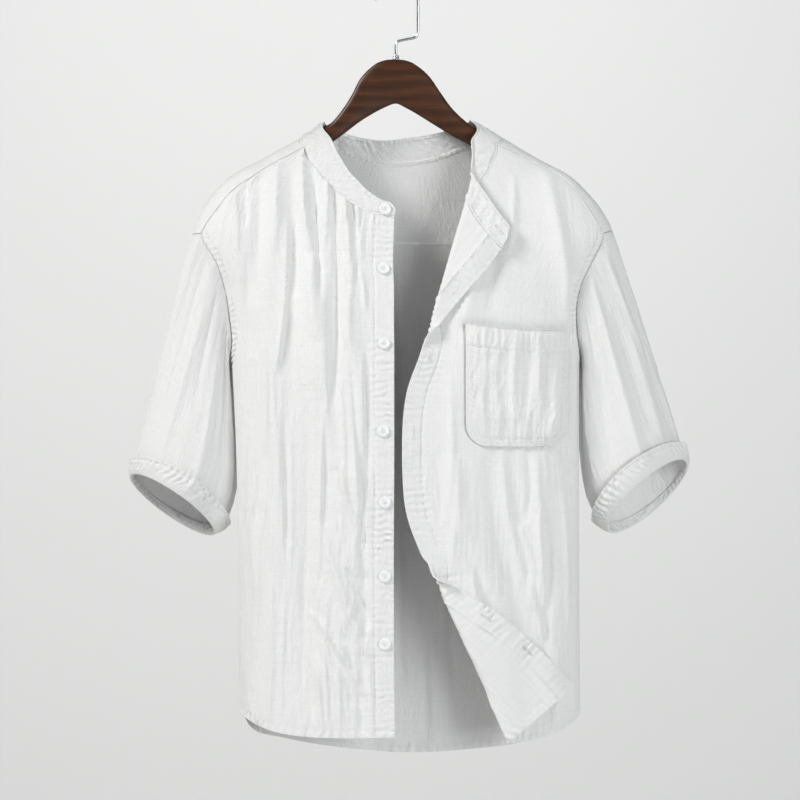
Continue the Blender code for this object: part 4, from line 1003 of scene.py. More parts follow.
def shoulderLines():
    # the seams that the yoke, band and sleeves share, at a fine step
    fine = yoke["fine"]
    lines = {
        "ridgeLeft": straight((0.0, shoulder["neckZ"]), (0.0, shoulder["left"]), yoke["rows"]),
        "ridgeRight": straight((-math.pi, shoulder["neckZ"]), (-math.pi, shoulder["right"]), yoke["rows"]),
        "neckBack": seamLine("neckBack", (yoke["back"] + 2 * yoke["corner"]) * fine),
        "yokeBack": seamLine("yokeBack", yoke["back"] * fine),
    }
    for side, turn in (("Left", 0.0), ("Right", -2 * math.pi)):
        neckCorner = seamLine("neck" + side, 12)[-1] + (turn, 0)
        frontSeam = seamLine("yokeFront" + side, yoke["rows"]) + (turn, 0)
        lines["yokeFront" + side] = frontSeam
        lines["neckRidge" + side] = straight(neckCorner, lines["ridge" + side][0], yoke["ridge"] * fine)
        lines["armRidge" + side] = straight(frontSeam[-1], lines["ridge" + side][-1], yoke["ridge"] * fine)
    corner = yoke["corner"] * fine
    lines["armYokeLeft"] = straight(lines["ridgeLeft"][-1], lines["yokeBack"][0], corner)
    lines["armYokeRight"] = straight(lines["yokeBack"][-1], lines["ridgeRight"][-1], corner)
    return lines


def buildYoke(lines):
    low = yoke["corner"] * yoke["fine"]
    high = low + yoke["back"] * yoke["fine"]
    neck, foot = lines["neckBack"], lines["yokeBack"]
    cornerLeft = straight(neck[low], foot[0], yoke["rows"])
    cornerRight = straight(neck[high], foot[-1], yoke["rows"])
    patches = (
        between(lines["neckRidgeLeft"], lines["armRidgeLeft"], lines["yokeFrontLeft"], lines["ridgeLeft"]),
        between(neck[:low + 1], lines["armYokeLeft"], lines["ridgeLeft"], cornerLeft),
        between(neck[low:high + 1], foot, cornerLeft, cornerRight),
        between(neck[high:], lines["armYokeRight"], cornerRight, lines["ridgeRight"]),
        between(lines["neckRidgeRight"][::-1], lines["armRidgeRight"][::-1], lines["ridgeRight"],
                lines["yokeFrontRight"]),
    )
    grid = np.concatenate([patches[0]] + [patch[:, 1:] for patch in patches[1:]], 1)
    point = tubePoint(grid[..., 0], grid[..., 1])
    relief = bodyRelief(grid[..., 0], grid[..., 1], creases["frontRight"], yoke["crinkle"]) * yoke["calm"]
    away = {key: distanceTo(point, tubeLine(name)) for key, name in
            (("left", "yokeFrontLeft"), ("right", "yokeFrontRight"), ("back", "yokeBack"))}
    away["seam"] = np.minimum(np.minimum(away["left"], away["right"]), away["back"])
    along = grid[..., 0] * around
    relief = relief * smooth(away["seam"] / 12 + 0.2)
    relief += seamBand(away["seam"], along + grid[..., 1], yoke["seam"], *yoke["seamSewn"], 90)
    rise = yoke["turningRise"] * smooth(yoke["turning"] - away["seam"])
    wall = dressPanel("shoulderYoke", "yoke", grid, relief, rise)
    declare(wall, "body")
    threads = [stitchLine(levelLine(wall, away[side], stitch["seam"], edge))
               for side, edge in (("left", "first"), ("right", "last"))]
    aside = 2 * low - yoke["stitchTrim"]
    middle = slice(aside, -aside)
    part = {key: wall[key][:, middle] for key in ("outer", "inner", "normal")}
    threads.append(stitchLine(levelLine(part, away["back"][:, middle], stitch["seam"], "foot")))
    threadPiece("stitchesYoke", threads)


sharedLines = shoulderLines()
buildYoke(sharedLines)
print("yoke dressed")


band = {
    "rows": 30, "neck": 64, "ridge": 12, "topStitch": 3.4, "footStitch": 2.2, "rise": 0.5,
    "top": 4.2, "foot": 3.0, "sewn": (0.8, 0.6, 7.0), "footDip": 0.5,
    "crinkle": 1.9, "crossCrinkle": 1.1, "holeFromEnd": 9,
}


def buildBand(lines):
    backCount = len(lines["neckBack"]) - 1
    neckLeft, neckRight = seamLine("neckLeft", band["neck"]), seamLine("neckRight", band["neck"])
    ridgeLeft = straight(lines["neckRidgeLeft"][0], lines["neckRidgeLeft"][-1], band["ridge"])
    ridgeRight = straight(lines["neckRidgeRight"][0], lines["neckRidgeRight"][-1], band["ridge"])
    turn = np.array([2 * math.pi, 0])
    leftFoot = joined(neckLeft, ridgeLeft, lines["neckBack"])
    leftTop = joined(seamLine("bandTopLeft", band["neck"] + band["ridge"]),
                     seamLine("bandTopBack", backCount))
    rightFoot = joined(neckRight, ridgeRight + turn)
    rightTop = seamLine("bandTopRight", len(rightFoot) - 1)
    grids = []
    for top, foot in ((leftTop, leftFoot), (rightTop, rightFoot)):
        grids.append(between(top, foot, straight(top[0], foot[0], band["rows"]),
                             straight(top[-1], foot[-1], band["rows"])))
    grid = np.concatenate([grids[0], (grids[1][:, ::-1] - turn)[:, 1:]], 1)
    point = tubePoint(grid[..., 0], grid[..., 1])
    rows = np.linalg.norm(np.diff(point, axis=0), axis=-1)
    down = np.concatenate([np.zeros((1, grid.shape[1])), np.cumsum(rows, 0)])
    up = down[-1] - down
    steps = np.linalg.norm(np.diff(point[-1], axis=0), axis=-1)
    along = np.concatenate([[0], np.cumsum(steps)])[None] + 0 * down
    inside = smooth(down / 5) * smooth(up / 5)
    relief = band["crinkle"] * inside * crinkles(along - 0.9 * down, down * 2.4 + along * 0.4, 31, 9.0, 40.0)
    relief += band["crossCrinkle"] * inside * crinkles(along + 1.3 * down, down * 1.5, 37, 14.0, 30.0)
    relief += (seamBand(down, along, band["top"], *band["sewn"], 33)
               + seamBand(up, along, band["foot"], *band["sewn"], 35))
    relief -= band["footDip"] * np.exp(-up ** 2)
    rise = band["rise"] + 0 * down
    wall = dressPanel("collarBand", "collar_band", grid, relief, rise, True)
    declare(wall, "trim")
    ends = np.minimum(along, along[:, -1:] - along)
    threads = []
    for face in ("outer", "inner"):
        threads.append(stitchLine(levelLine(wall, down, band["topStitch"], "top", face)))
        threads.append(stitchLine(levelLine(wall, up, band["footStitch"], "foot", face)))
    threads.append(stitchLine(levelLine(wall, ends, stitch["seam"], "first")))
    threads.append(stitchLine(levelLine(wall, along[:, -1:] - along, stitch["seam"], "last", "inner")))
    threadPiece("stitchesCollarBand", threads)
    return wall


bandWall = buildBand(sharedLines)
print("collar band dressed")


pocketCreases = (
    # the columns are those of the other creases
    (100, -416, 96, -500, 3, 3.0, 1.1), (113, -425, 118, -535, -3, 3.5, 1.5),
    (126, -430, 124, -540, 3, 3.0, -1.4), (139, -414, 134, -520, -4, 5.0, 2.2),
    (150, -430, 146, -510, 2, 5.0, -2.0), (158, -414, 160, -500, 3, 4.5, 2.2),
    (170, -440, 176, -520, -3, 4.0, -1.7), (182, -450, 172, -540, 3, 4.0, 1.6),
    (140, -510, 138, -548, 1, 3.0, 1.2), (156, -505, 154, -548, -1, 3.0, -1.2),
    (92, -470, 100, -540, 2, 3.0, 1.2), (120, -500, 116, -548, -1, 2.4, 1.0),
)


def buildPocket():
    grid, x, part = pocketPlaces()
    angle, z = grid[..., 0], grid[..., 1]
    point = tubePoint(angle, z)
    outline = pocketOutline()
    away = distanceTo(point, outline)
    fromTop = distanceTo(point, point[0])
    relief = bodyRelief(angle, z, creases["frontLeft"], leftStrength(z))
    puff = (pocket["creaseShare"] * creaseSum(pocketCreases, x, z)
            + pocket["crinkle"] * crinkles(x, z, 51, 8.0, 45.0))
    relief += puff * smooth((away - 2) / 9) + pocket["puff"] * smooth(away / 14)
    relief += seamBand(away, z + x, pocket["turnedEdge"], *pocket["edgeSewn"], 53)
    relief += seamBand(fromTop, x, pocket["topHem"], *pocket["topSewn"], 57) * smooth(away / 6)
    relief += pocket["gape"] * np.sin(math.pi * part) ** 0.7 * smooth(1 - fromTop / 40)
    rise = (pocket["edgeRise"] * smooth((pocket["turnedEdge"] - away) / 1.2)
            + pocket["topRise"] * smooth((pocket["topHem"] - fromTop) / 1.5))
    wall = dressPanel("chestPocket", "pocket", grid, relief, rise, False, pocket["lift"])
    declare(wall, "body")
    threads = []
    for level in pocket["edgeStitches"]:
        for edge in ("first", "last", "foot"):
            threads.append(stitchLine(levelLine(wall, away, level, edge)))
    threads.append(stitchLine(levelLine(wall, fromTop, pocket["topHem"] - pocket["topStitch"], "top")))
    threadPiece("stitchesPocket", threads)


buildPocket()
print("pocket dressed")


cuffs = {
    # centre, half vector to the outer end, half vector to the front
    "Left": ((-262.6, 24.0, -620.7), (-48.1, 0.0, 33.1), (9.8, -52.0, 14.3)),
    "Right": ((293.5, 24.0, -610.7), (45.2, 0.0, 40.0), (-14.6, -52.0, 16.5)),
    # reach at the outer end and what it loses at the inner end
    "height": (36.0, -16.0), "taper": 3, "flare": 5.0, "rows": 17, "rimRows": 7, "gap": 0.9,
    "insideRows": 10, "inside": 15.0, "stitches": (4.2, 1.6),
    "edge": 5.0, "edgeSewn": (0.8, 0.7, 6.5), "fold": 15.0, "foldSewn": (0.0, 1.1, 8.0),
    "within": 9.0, "withinSewn": (0.5, 1.1, 7.0), "crinkleOut": 1.7, "crinkleIn": 1.3, "sinkIn": 0.6,
}
sleeves = {
    "leave": 46.0, "arrive": 70.0, "ease": 1.0, "rows": 84, "arm": 7, "wall": 1.5,
    # how a sleeve leaves the armhole and reaches its end: outward, back and down, at top and more below
    "leaveOut": (0.36, 0.45), "leaveBack": 0.9, "leaveDown": (-0.93, 0.55),
    "arriveOut": (0.45, 0.4), "arriveDown": (-0.89, 0.36), "arriveGrow": 1.7, "leaveFade": 0.55,
    "clearance": 0.3, "steepest": 0.4, "endGap": 2.2, "creaseShare": 1.5, "crinkle": 1.5,
    "seam": 3.0, "seamSewn": (0.2, 0.5, 7.0), "seamDip": 0.5,
    # round the armhole, down the sleeve, for each end; then half width and height
    "creasesLeft": ((0.06, 0.02, 0.04, 0.62, 5.0, 2.2), (0.12, 0.05, 0.10, 0.7, 4.0, -1.6),
                    (0.17, 0.25, 0.15, 0.95, 5.0, 2.2), (0.22, 0.1, 0.22, 0.6, 6.0, -1.8),
                    (0.29, 0.35, 0.28, 0.95, 6.0, 2.0), (0.36, 0.1, 0.34, 0.8, 7.0, -1.8),
                    (0.96, 0.05, 0.98, 0.8, 5.0, 2.0), (0.9, 0.1, 0.86, 0.9, 6.0, -1.8),
                    (0.8, 0.1, 0.78, 0.7, 5.0, 2.0), (0.7, 0.3, 0.72, 0.95, 6.0, 2.0),
                    (0.62, 0.1, 0.64, 0.8, 6.0, -1.8), (0.43, 0.5, 0.42, 0.95, 5.0, 1.6)),
    "creasesRight": ((0.09, 0.1, 0.07, 0.55, 5.0, 1.6), (0.19, 0.08, 0.21, 0.98, 6.0, 3.0),
                     (0.27, 0.1, 0.3, 0.9, 8.0, -2.2), (0.1, 0.4, 0.12, 0.9, 6.0, 2.2),
                     (0.14, 0.3, 0.15, 0.8, 5.0, -1.6), (0.04, 0.55, 0.05, 0.92, 5.0, 2.4),
                     (0.38, 0.3, 0.37, 0.95, 7.0, 2.0), (0.95, 0.05, 0.96, 0.8, 5.0, 2.0),
                     (0.86, 0.1, 0.84, 0.9, 6.0, -1.8), (0.76, 0.2, 0.78, 0.8, 5.0, 2.0),
                     (0.66, 0.3, 0.64, 0.95, 6.0, 2.0), (0.58, 0.1, 0.6, 0.7, 6.0, -1.6)),
}


def sleeveShape(side, lines):
    # what placing a point of a sleeve needs: its armhole, directions, gaps and open end
    shift = np.array([0.0 if side == "Left" else 2 * math.pi, 0.0])
    fine = yoke["fine"]
    frontArm = seamLine("armFront" + side, sleeves["arm"] * fine)
    backArm = (seamLine("armBack" + side, sleeves["arm"] * fine) + shift)[::-1]
    yokeArm = lines["armYoke" + side] + shift
    yokeArm = yokeArm if side == "Right" else yokeArm[::-1]
    loop = joined((lines["armRidge" + side] + shift)[::-1], frontArm, backArm, yokeArm)[:-1]
    points, normals = tubeFrame(loop[:, 0], loop[:, 1])
    count = len(loop)
    under = (yoke["ridge"] + sleeves["arm"]) * fine
    sign = -1 if side == "Left" else 1
    aroundHole = unit(np.roll(points, -fine, 0) - np.roll(points, fine, 0))
    depth = np.clip((points[0, 2] - points[:, 2]) / (points[0, 2] - points[under, 2]), 0, 1)
    behind = np.clip((np.arange(count) / fine - under / fine + 2) / 4, 0, 1)
    out, down = sleeves["leaveOut"], sleeves["leaveDown"]
    direction = unit(np.stack([sign * (out[0] + out[1] * depth), sleeves["leaveBack"] * depth * behind,
                               down[1] * depth + down[0]], -1))
    gap = (sleeves["clearance"] + (sleeves["wall"] / 2 + 0.1) * np.abs(np.sum(normals * direction, -1))
           + sleeves["ease"] * depth ** 3)
    slant = np.maximum(sleeves["steepest"], np.linalg.norm(np.cross(direction, aroundHole), axis=-1))
    lengths = np.concatenate([[0], np.cumsum(np.linalg.norm(np.roll(points, -1, 0) - points, axis=1))])
    half, whole = lengths[under], lengths[-1]
    turns = np.where(lengths[:-1] <= half, math.pi * lengths[:-1] / half,
                     math.pi + math.pi * (lengths[:-1] - half) / (whole - half))
    center, outerEnd, frontEnd = (np.array(item) for item in cuffs[side])
    end = center + outerEnd * np.cos(turns)[:, None] + frontEnd * np.sin(turns)[:, None]
    inner = (1 - np.cos(turns)) / 2
    out, down = sleeves["arriveOut"], sleeves["arriveDown"]
    arrive = np.stack([sign * (out[0] + out[1] * inner), 0 * inner, down[1] * inner + down[0]], -1)
    arrive = arrive * (sleeves["arrive"] * (1 + sleeves["arriveGrow"] * inner))[:, None]
    leave = direction * (sleeves["leave"] * (1 - sleeves["leaveFade"] * depth) * 2)[:, None]
    begin = points + direction * (gap / slant)[:, None]
    return {"begin": begin, "end": end, "leave": leave, "arrive": arrive, "sign": sign,
            "count": count, "length": np.linalg.norm(end[0] - begin[0]), "round": lengths[:-1],
            "whole": whole, "inner": inner, "lengths": np.linalg.norm(end - begin, axis=1)}


def finerShape(shape, factor):
    # the same sleeve with more columns, for narrow puckers
    count = shape["count"] * factor
    places = np.arange(count) / factor
    below = places.astype(int)
    part = places - below
    finer = {**shape, "count": count}
    for key in ("begin", "end", "leave", "arrive", "inner", "lengths"):
        values = shape[key]
        share = part.reshape((-1,) + (1,) * (values.ndim - 1))
        finer[key] = values[below] * (1 - share) + np.roll(values, -1, 0)[below] * share
    ends = np.append(shape["round"], shape["whole"])
    finer["round"] = ends[below] * (1 - part) + ends[below + 1] * part
    return finer


def sleevePlace(shape, parts):
    # grid of middle points and outward normals for parts down the sleeve, by row and column
    part = parts[..., None]
    middle = hermite(shape["begin"][None], shape["end"][None], shape["leave"][None],
                     shape["arrive"][None], part)
    ahead = hermite(shape["begin"][None], shape["end"][None], shape["leave"][None],
                    shape["arrive"][None], part + 0.004)
    round3 = np.roll(middle, -1, 1) - np.roll(middle, 1, 1)
    normal = unit(np.cross(round3, ahead - middle)) * shape["sign"]
    return middle, normal


def sleeveRelief(side, shape, parts):
    column = shape["round"][None] / shape["whole"]
    total = np.zeros_like(parts)
    for columnA, partA, columnB, partB, halfWidth, height in sleeves["creases" + side]:
        run = np.clip((parts - partA) / (partB - partA), 0, 1)
        away = column - (columnA + (columnB - columnA) * run)
        away = (away - np.round(away)) * shape["whole"] / halfWidth
        total += sleeves["creaseShare"] * height * np.sin(math.pi * run) ** 0.6 * np.exp(-np.abs(away) ** 1.5)
    wrap = column * 2 * math.pi
    across = np.minimum(column, 1 - column) * shape["whole"] + 8 * np.sin(wrap)
    seed = 61 if side == "Left" else 67
    total += sleeves["crinkle"] * crinkles(across, parts * shape["length"], seed, 10.0, 60.0)
    return total * smooth(parts / 0.1 + 0.08) * (0.45 + 0.55 * smooth((1 - parts) / 0.06))


def buildSleeves(lines):
    for side, wearer in (("Left", "right"), ("Right", "left")):
        shape = finerShape(sleeveShape(side, lines), 2)
        share = np.linspace(0, 1, sleeves["rows"] + 1)[:, None]
        parts = share * (1 - sleeves["endGap"] / shape["lengths"][None])
        middle, normal = sleevePlace(shape, parts)
        relief = sleeveRelief(side, shape, parts)
        fromArm = parts * shape["length"]
        roundway = shape["round"][None] + 0 * relief
        relief += seamBand(fromArm, roundway, sleeves["seam"], *sleeves["seamSewn"], 71)
        relief -= sleeves["seamDip"] * np.exp(-(fromArm / 2.0) ** 2)
        half = cloth["thickness"] / 2
        outer = middle + normal * (relief + half)[..., None]
        inner = middle + normal * (relief - half)[..., None]
        flatPlaces = np.stack([roundway, -fromArm], -1)
        name = "sleeve" + wearer.capitalize()
        piece = wallMesh(name, outer, inner, flatPlaces, True)
        finishPiece(piece, "sleeve_" + wearer)
        declare({"piece": piece}, "sleeve")
        buildCuff(side, wearer, shape)


def buildCuff(side, wearer, plainShape):
    # the turned-up end: it rolls round the sleeve's rim and stands off at its free edge
    shape = finerShape(plainShape, 2)
    half, radius = cloth["thickness"] / 2, cloth["thickness"] / 2 + cuffs["gap"]
    rim = np.linspace(0, math.pi, cuffs["rimRows"])[:, None]
    within = np.linspace(cuffs["inside"], 0, cuffs["insideRows"] + 1)[:-1, None]
    up = np.linspace(0, 1, cuffs["rows"] + 1)[1:, None]
    height = (cuffs["height"][0] + cuffs["height"][1] * shape["inner"] ** cuffs["taper"])[None]
    reach = np.concatenate([within + 0 * height, -radius * np.sin(rim) + 0 * height, up * height])
    heights = np.concatenate([0 * within - radius, -radius * np.cos(rim), radius + cuffs["flare"] * up])
    parts = 1 - (reach + radius) / shape["lengths"][None]
    middle, normal = sleevePlace(shape, parts)
    rows = len(parts)
    outside = smooth((np.arange(rows) - cuffs["insideRows"] - cuffs["rimRows"]) / 4)[:, None]
    inside = smooth((cuffs["insideRows"] - np.arange(rows)) / 3)[:, None]
    roundway = shape["round"][None] + 0 * reach
    relief = sleeveRelief(side, shape, parts)
    relief += outside * (cuffs["crinkleOut"] * crinkles(roundway + 0.5 * reach, reach, 41, 9.0, 34.0)
                         + seamBand(height - reach, roundway, cuffs["edge"], *cuffs["edgeSewn"], 43)
                         + seamBand(height - reach, roundway - 0.4 * reach, cuffs["fold"],
                                    *cuffs["foldSewn"], 49))
    relief += inside * (seamBand(reach, roundway, cuffs["within"], *cuffs["withinSewn"], 51)
                        + cuffs["crinkleIn"] * crinkles(roundway - 0.7 * reach, reach, 47, 8.0, 24.0)
                        - cuffs["sinkIn"])
    base = middle + normal * (heights + relief)[..., None]
    downward = np.gradient(base, axis=0)
    face = unit(np.cross(np.roll(base, -1, 1) - np.roll(base, 1, 1), downward))
    if np.sum(face[-2] * normal[-2]) < 0:
        face = -face
    outer, inner = base + face * half, base - face * half
    name = "cuff" + wearer.capitalize()
    flatPlaces = np.stack([roundway, np.arange(rows)[:, None] * 1.6 + 0 * roundway], -1)
    piece = wallMesh(name, outer, inner, flatPlaces, True)
    finishPiece(piece, "cuff_" + wearer)
    declare({"piece": piece}, "trim")
    wall = {"outer": outer, "inner": inner, "normal": face}
    distance = np.where(outside > 0.2, height - reach, 99.0)
    threadPiece("stitchesCuff" + wearer.capitalize(),
                [stitchLine(levelLine(wall, distance, level, "foot")) for level in cuffs["stitches"]])


buildSleeves(sharedLines)
print("sleeves dressed")


button = {"radius": 6.9, "rim": 2.3, "thickness": 2.1, "dish": 0.3, "holeRadius": 0.7, "holeSpread": 1.2,
          "segments": 48, "holeSegments": 14, "lift": 1.05, "thread": (3.9, 1.1, 0.45), "threadLift": 0.1,
          "places": (("button_collar", -14.0, -279.5), ("button_1", -15.5, -347.8),
                     ("button_2", -15.0, -433.8), ("button_3", -16.0, -534.2),
                     ("button_4", -14.0, -615.5), ("button_5", -14.0, -700.0),
                     ("button_6", -14.0, -777.2))}


def latheMesh(name, profile, segments):
    made = bmesh.new()
    points = [made.verts.new((radius, 0, height)) for radius, height in profile]
    edges = [made.edges.new(pair) for pair in zip(points, points[1:])]
    bmesh.ops.spin(made, geom=points + edges, cent=(0, 0, 0), axis=(0, 0, 1), angle=2 * math.pi,
                   steps=segments, use_merge=True)
    bmesh.ops.remove_doubles(made, verts=made.verts, dist=1e-7)
    bmesh.ops.recalc_face_normals(made, faces=made.faces)
    mesh = bpy.data.meshes.new(name)
    made.to_mesh(mesh)
    made.free()
    return mesh


def buttonMesh():
    r, t, rim, dish = (button[key] * mm for key in ("radius", "thickness", "rim", "dish"))
    profile = [(0, 0), (r * 0.8, 0), (r * 0.93, t * 0.1), (r, t * 0.35), (r, t * 0.62),
               (r * 0.965, t * 0.82), (r - rim * 0.5, t * 0.97), (r - rim * 0.75, t),
               (r - rim, t * 0.96), (r - rim * 1.3, t - dish * 0.7), (r - rim * 1.7, t - dish),
               (0, t - dish)]
    disc = bpy.data.objects.new("buttonForm", latheMesh("buttonForm", profile, button["segments"]))
    bpy.context.collection.objects.link(disc)
    made = bmesh.new()
    spread = button["holeSpread"] * mm
    for x in (-spread, spread):
        for y in (-spread, spread):
            bmesh.ops.create_cone(made, cap_ends=True, segments=button["holeSegments"],
                                  radius1=button["holeRadius"] * mm, radius2=button["holeRadius"] * mm,
                                  depth=4 * t,
                                  matrix=Matrix.Translation((x, y, 0)))
    drillMesh = bpy.data.meshes.new("drill")
    made.to_mesh(drillMesh)
    made.free()
    drill = bpy.data.objects.new("drill", drillMesh)
    bpy.context.collection.objects.link(drill)
    cut = disc.modifiers.new("holes", "BOOLEAN")
    cut.operation = "DIFFERENCE"
    cut.object = drill
    cut.solver = "EXACT"
    graph = bpy.context.evaluated_depsgraph_get()
    mesh = bpy.data.meshes.new_from_object(disc.evaluated_get(graph))
    mesh.name = "button"
    mesh.shade_smooth()
    mesh.set_sharp_from_angle(angle=math.radians(38))
    for spare in (disc, drill):
        bpy.data.objects.remove(spare)
    return mesh


def buildButtons():
    mesh = buttonMesh()
    mesh.materials.clear()
    mesh.materials.append(materials["button"])
    threads = []
    for number, (node, x, z) in enumerate(button["places"]):
        angle = angleAt(np.array(x), np.array(z), 1)
        point, normal = tubeFrame(angle, np.array(z))
        seat = point + normal * button["lift"]
        rotation = Vector(normal).to_track_quat("Z", "Y").to_matrix().to_4x4()
        twist = Matrix.Rotation(0.35 * number + 0.2, 4, "Z")
        piece = bpy.data.objects.new("button" + ("Collar" if number == 0 else str(number)), mesh)
        piece.matrix_world = Matrix.Translation(Vector(seat) * mm) @ rotation @ twist
        bpy.context.collection.objects.link(piece)
        finishPiece(piece, node)
        axes = np.array((rotation @ twist).to_3x3())
        top = seat + normal * (button["thickness"] - button["dish"] + button["threadLift"])
        centers = np.array([top + axes[:, 1] * side * button["holeSpread"] for side in (-1, 1)])
        directions = np.repeat(axes[None, :, 0], len(centers), 0)
        normals = np.repeat(normal[None], len(centers), 0)
        threads.append(stitchesAt(centers, directions, normals, *button["thread"]))
    threadPiece("buttonThreads", threads)


buildButtons()
print("buttons made")


holes = {
    # distance from the front's edge, and heights in the front as it would hang flat
    "fromEdge": 11.5, "places": (-360.0, -447.0, -535.0, -618.0, -700.0, -776.0, -835.0),
    "length": 15.0, "bandLength": 13.0, "stitchStep": 0.75, "rowOffset": 1.05,
    "barSteps": (-0.9, 0.0, 0.9), "thread": (1.35, 0.75, 0.3),   # length, width and height
}


def buttonhole(center, direction, normal, length):
    # two rows of close stitches beside a slit, with a bar at each end
    across = np.cross(normal, direction)
    centers, directions = [], []
    for step in np.arange(-length / 2, length / 2, holes["stitchStep"]):
        for side in (-1, 1):
            centers.append(center + direction * step + across * side * holes["rowOffset"])
            directions.append(across)
    for end in (-1, 1):
        for step in holes["barSteps"]:
            centers.append(center + direction * (end * length / 2) + across * step)
            directions.append(direction)
    normals = np.repeat(normal[None], len(centers), 0)
    return stitchesAt(np.array(centers), np.array(directions), normals, *holes["thread"])


def buildButtonholes():
    wall = fronts["front_left"]
    away, height = wall["away"]["edge"], wall["grid"][..., 1]
    threads = []
    for face in ("outer", "inner"):
        line, normals = levelLine(wall, away, holes["fromEdge"], "first", face)
        rows = levelLine({face: np.repeat(height[..., None], 3, -1), "normal": wall["normal"]}, away,
                         holes["fromEdge"], "first", face)[0][:, 0]
        for place in holes["places"]:
            index = int(np.clip(np.argmin(np.abs(rows - place)), 3, len(rows) - 4))
            direction = unit(line[index + 3] - line[index - 3])
            threads.append(buttonhole(line[index], direction, normals[index], holes["length"]))
    count = bandWall["outer"].shape[1]
    for face, sign in (("outer", 1), ("inner", -1)):
        row, column = band["rows"] // 2, count - band["holeFromEnd"]
        points = bandWall[face]
        direction = unit(points[row, column + 2] - points[row, column - 2])
        normal = bandWall["normal"][row, column] * sign
        threads.append(buttonhole(points[row, column], direction, normal, holes["bandLength"]))
    threadPiece("buttonholes", threads)


buildButtonholes()
print("buttonholes sewn")


hanger = {
    # x, top, foot; without a top it follows the shoulder ridge
    "sections": (
        (-203.0, -257.0, -268.0), (-196.0, None, -266.0), (-170.0, None, -252.0),
        (-140.0, None, -235.0), (-110.0, None, -219.0), (-86.0, -182.5, -205.0),
        (-75.4, -176.5, -200.0), (-62.6, -160.8, -191.0), (-52.2, -144.4, -183.0),
        (-42.9, -126.4, -176.0), (-26.7, -110.2, -166.0), (-14.0, -104.6, -159.5),
        (-1.2, -103.8, -155.1), (10.0, -104.8, -160.0), (21.0, -109.4, -166.0),
        (37.1, -123.0, -176.0), (49.9, -141.2, -184.0), (62.6, -158.9, -192.0),
        (76.0, -172.5, -199.0), (89.0, -182.0, -206.0), (114.0, None, -217.0),
        (142.0, None, -231.0), (172.0, None, -247.0), (200.0, None, -265.0),
        (208.0, -257.0, -268.0),
    ),
    "halfThickness": 6.5, "underRidge": 1.9, "squareness": 2.6, "rings": 190, "sides": 40,
    "wire": 3.2, "stemX": -1.2, "sideX": 24.4, "bendRadius": 24.6, "top": -103.8,
    "ferruleRadius": 4.0, "ferruleHeight": 4.6, "gap": 0.3, "tipLength": 7, "closeShare": 0.35,
}


def loft(name, rings):
    # a closed tube through rings of points
    count, sides = rings.shape[:2]
    index = np.arange(count * sides).reshape(count, sides)
    index = np.concatenate([index, index[:, :1]], 1)
    quads = np.stack([index[:-1, :-1], index[:-1, 1:], index[1:, 1:], index[1:, :-1]], -1).reshape(-1, 4)
    faces = quads.tolist() + [index[0, :-1].tolist(), index[-1, :-1][::-1].tolist()]
    mesh = bpy.data.meshes.new(name)
    mesh.from_pydata((rings.reshape(-1, 3) * mm).tolist(), [], faces)
    made = bmesh.new()
    made.from_mesh(mesh)
    bmesh.ops.recalc_face_normals(made, faces=made.faces)
    made.to_mesh(mesh)
    made.free()
    mesh.shade_smooth()
    mesh.set_sharp_from_angle(angle=math.radians(50))
    piece = bpy.data.objects.new(name, mesh)
    bpy.context.collection.objects.link(piece)
    return piece


def ridgeHeight(x):
    heights = np.linspace(shoulder["left"], tube["outline"][0][0], 400)
    left, right = readTable(tube["outline"], heights)[:2]
    if x < 0:
        return float(np.interp(-x, -left[::-1], heights[::-1]))
    return float(np.interp(x, right[::-1], heights[::-1]))


def buildHanger():
    rows = []
    for x, top, foot in hanger["sections"]:
        if top is None:
            slope = ridgeHeight(x + 1) - ridgeHeight(x - 1)
            top = ridgeHeight(x) - hanger["underRidge"] * math.sqrt(1 + slope * slope / 4)
        rows.append((x, top, foot))
    first, last = rows[0][0], rows[-1][0]
    share = np.linspace(0, math.pi, hanger["rings"])
    x = (first + last) / 2 - (last - first) / 2 * np.cos(share)      # closer rings at the tips
    x = hanger["closeShare"] * x + (1 - hanger["closeShare"]) * np.linspace(first, last, hanger["rings"])
    top, foot = readTable(rows, x)
    tip = np.minimum(x - first, last - x)
    swell = np.sqrt(np.clip(1 - (1 - np.clip(tip / hanger["tipLength"], 0, 1)) ** 2, 0.02, 1))
    middle, half = (top + foot) / 2, (top - foot) / 2 * (0.45 + 0.55 * swell)
    turn = np.linspace(0, 2 * math.pi, hanger["sides"], endpoint=False)
    power = 2 / hanger["squareness"]
    up = np.sign(np.cos(turn)) * np.abs(np.cos(turn)) ** power
    out = np.sign(np.sin(turn)) * np.abs(np.sin(turn)) ** power
    rings = np.stack([x[:, None] + 0 * turn[None],
                      hanger["halfThickness"] * swell[:, None] * out[None],
                      middle[:, None] + half[:, None] * up[None]], -1)
    piece = loft("hangerWood", rings)
    finishPiece(piece, "hanger_wood")
    piece.data.materials.append(materials["wood"])


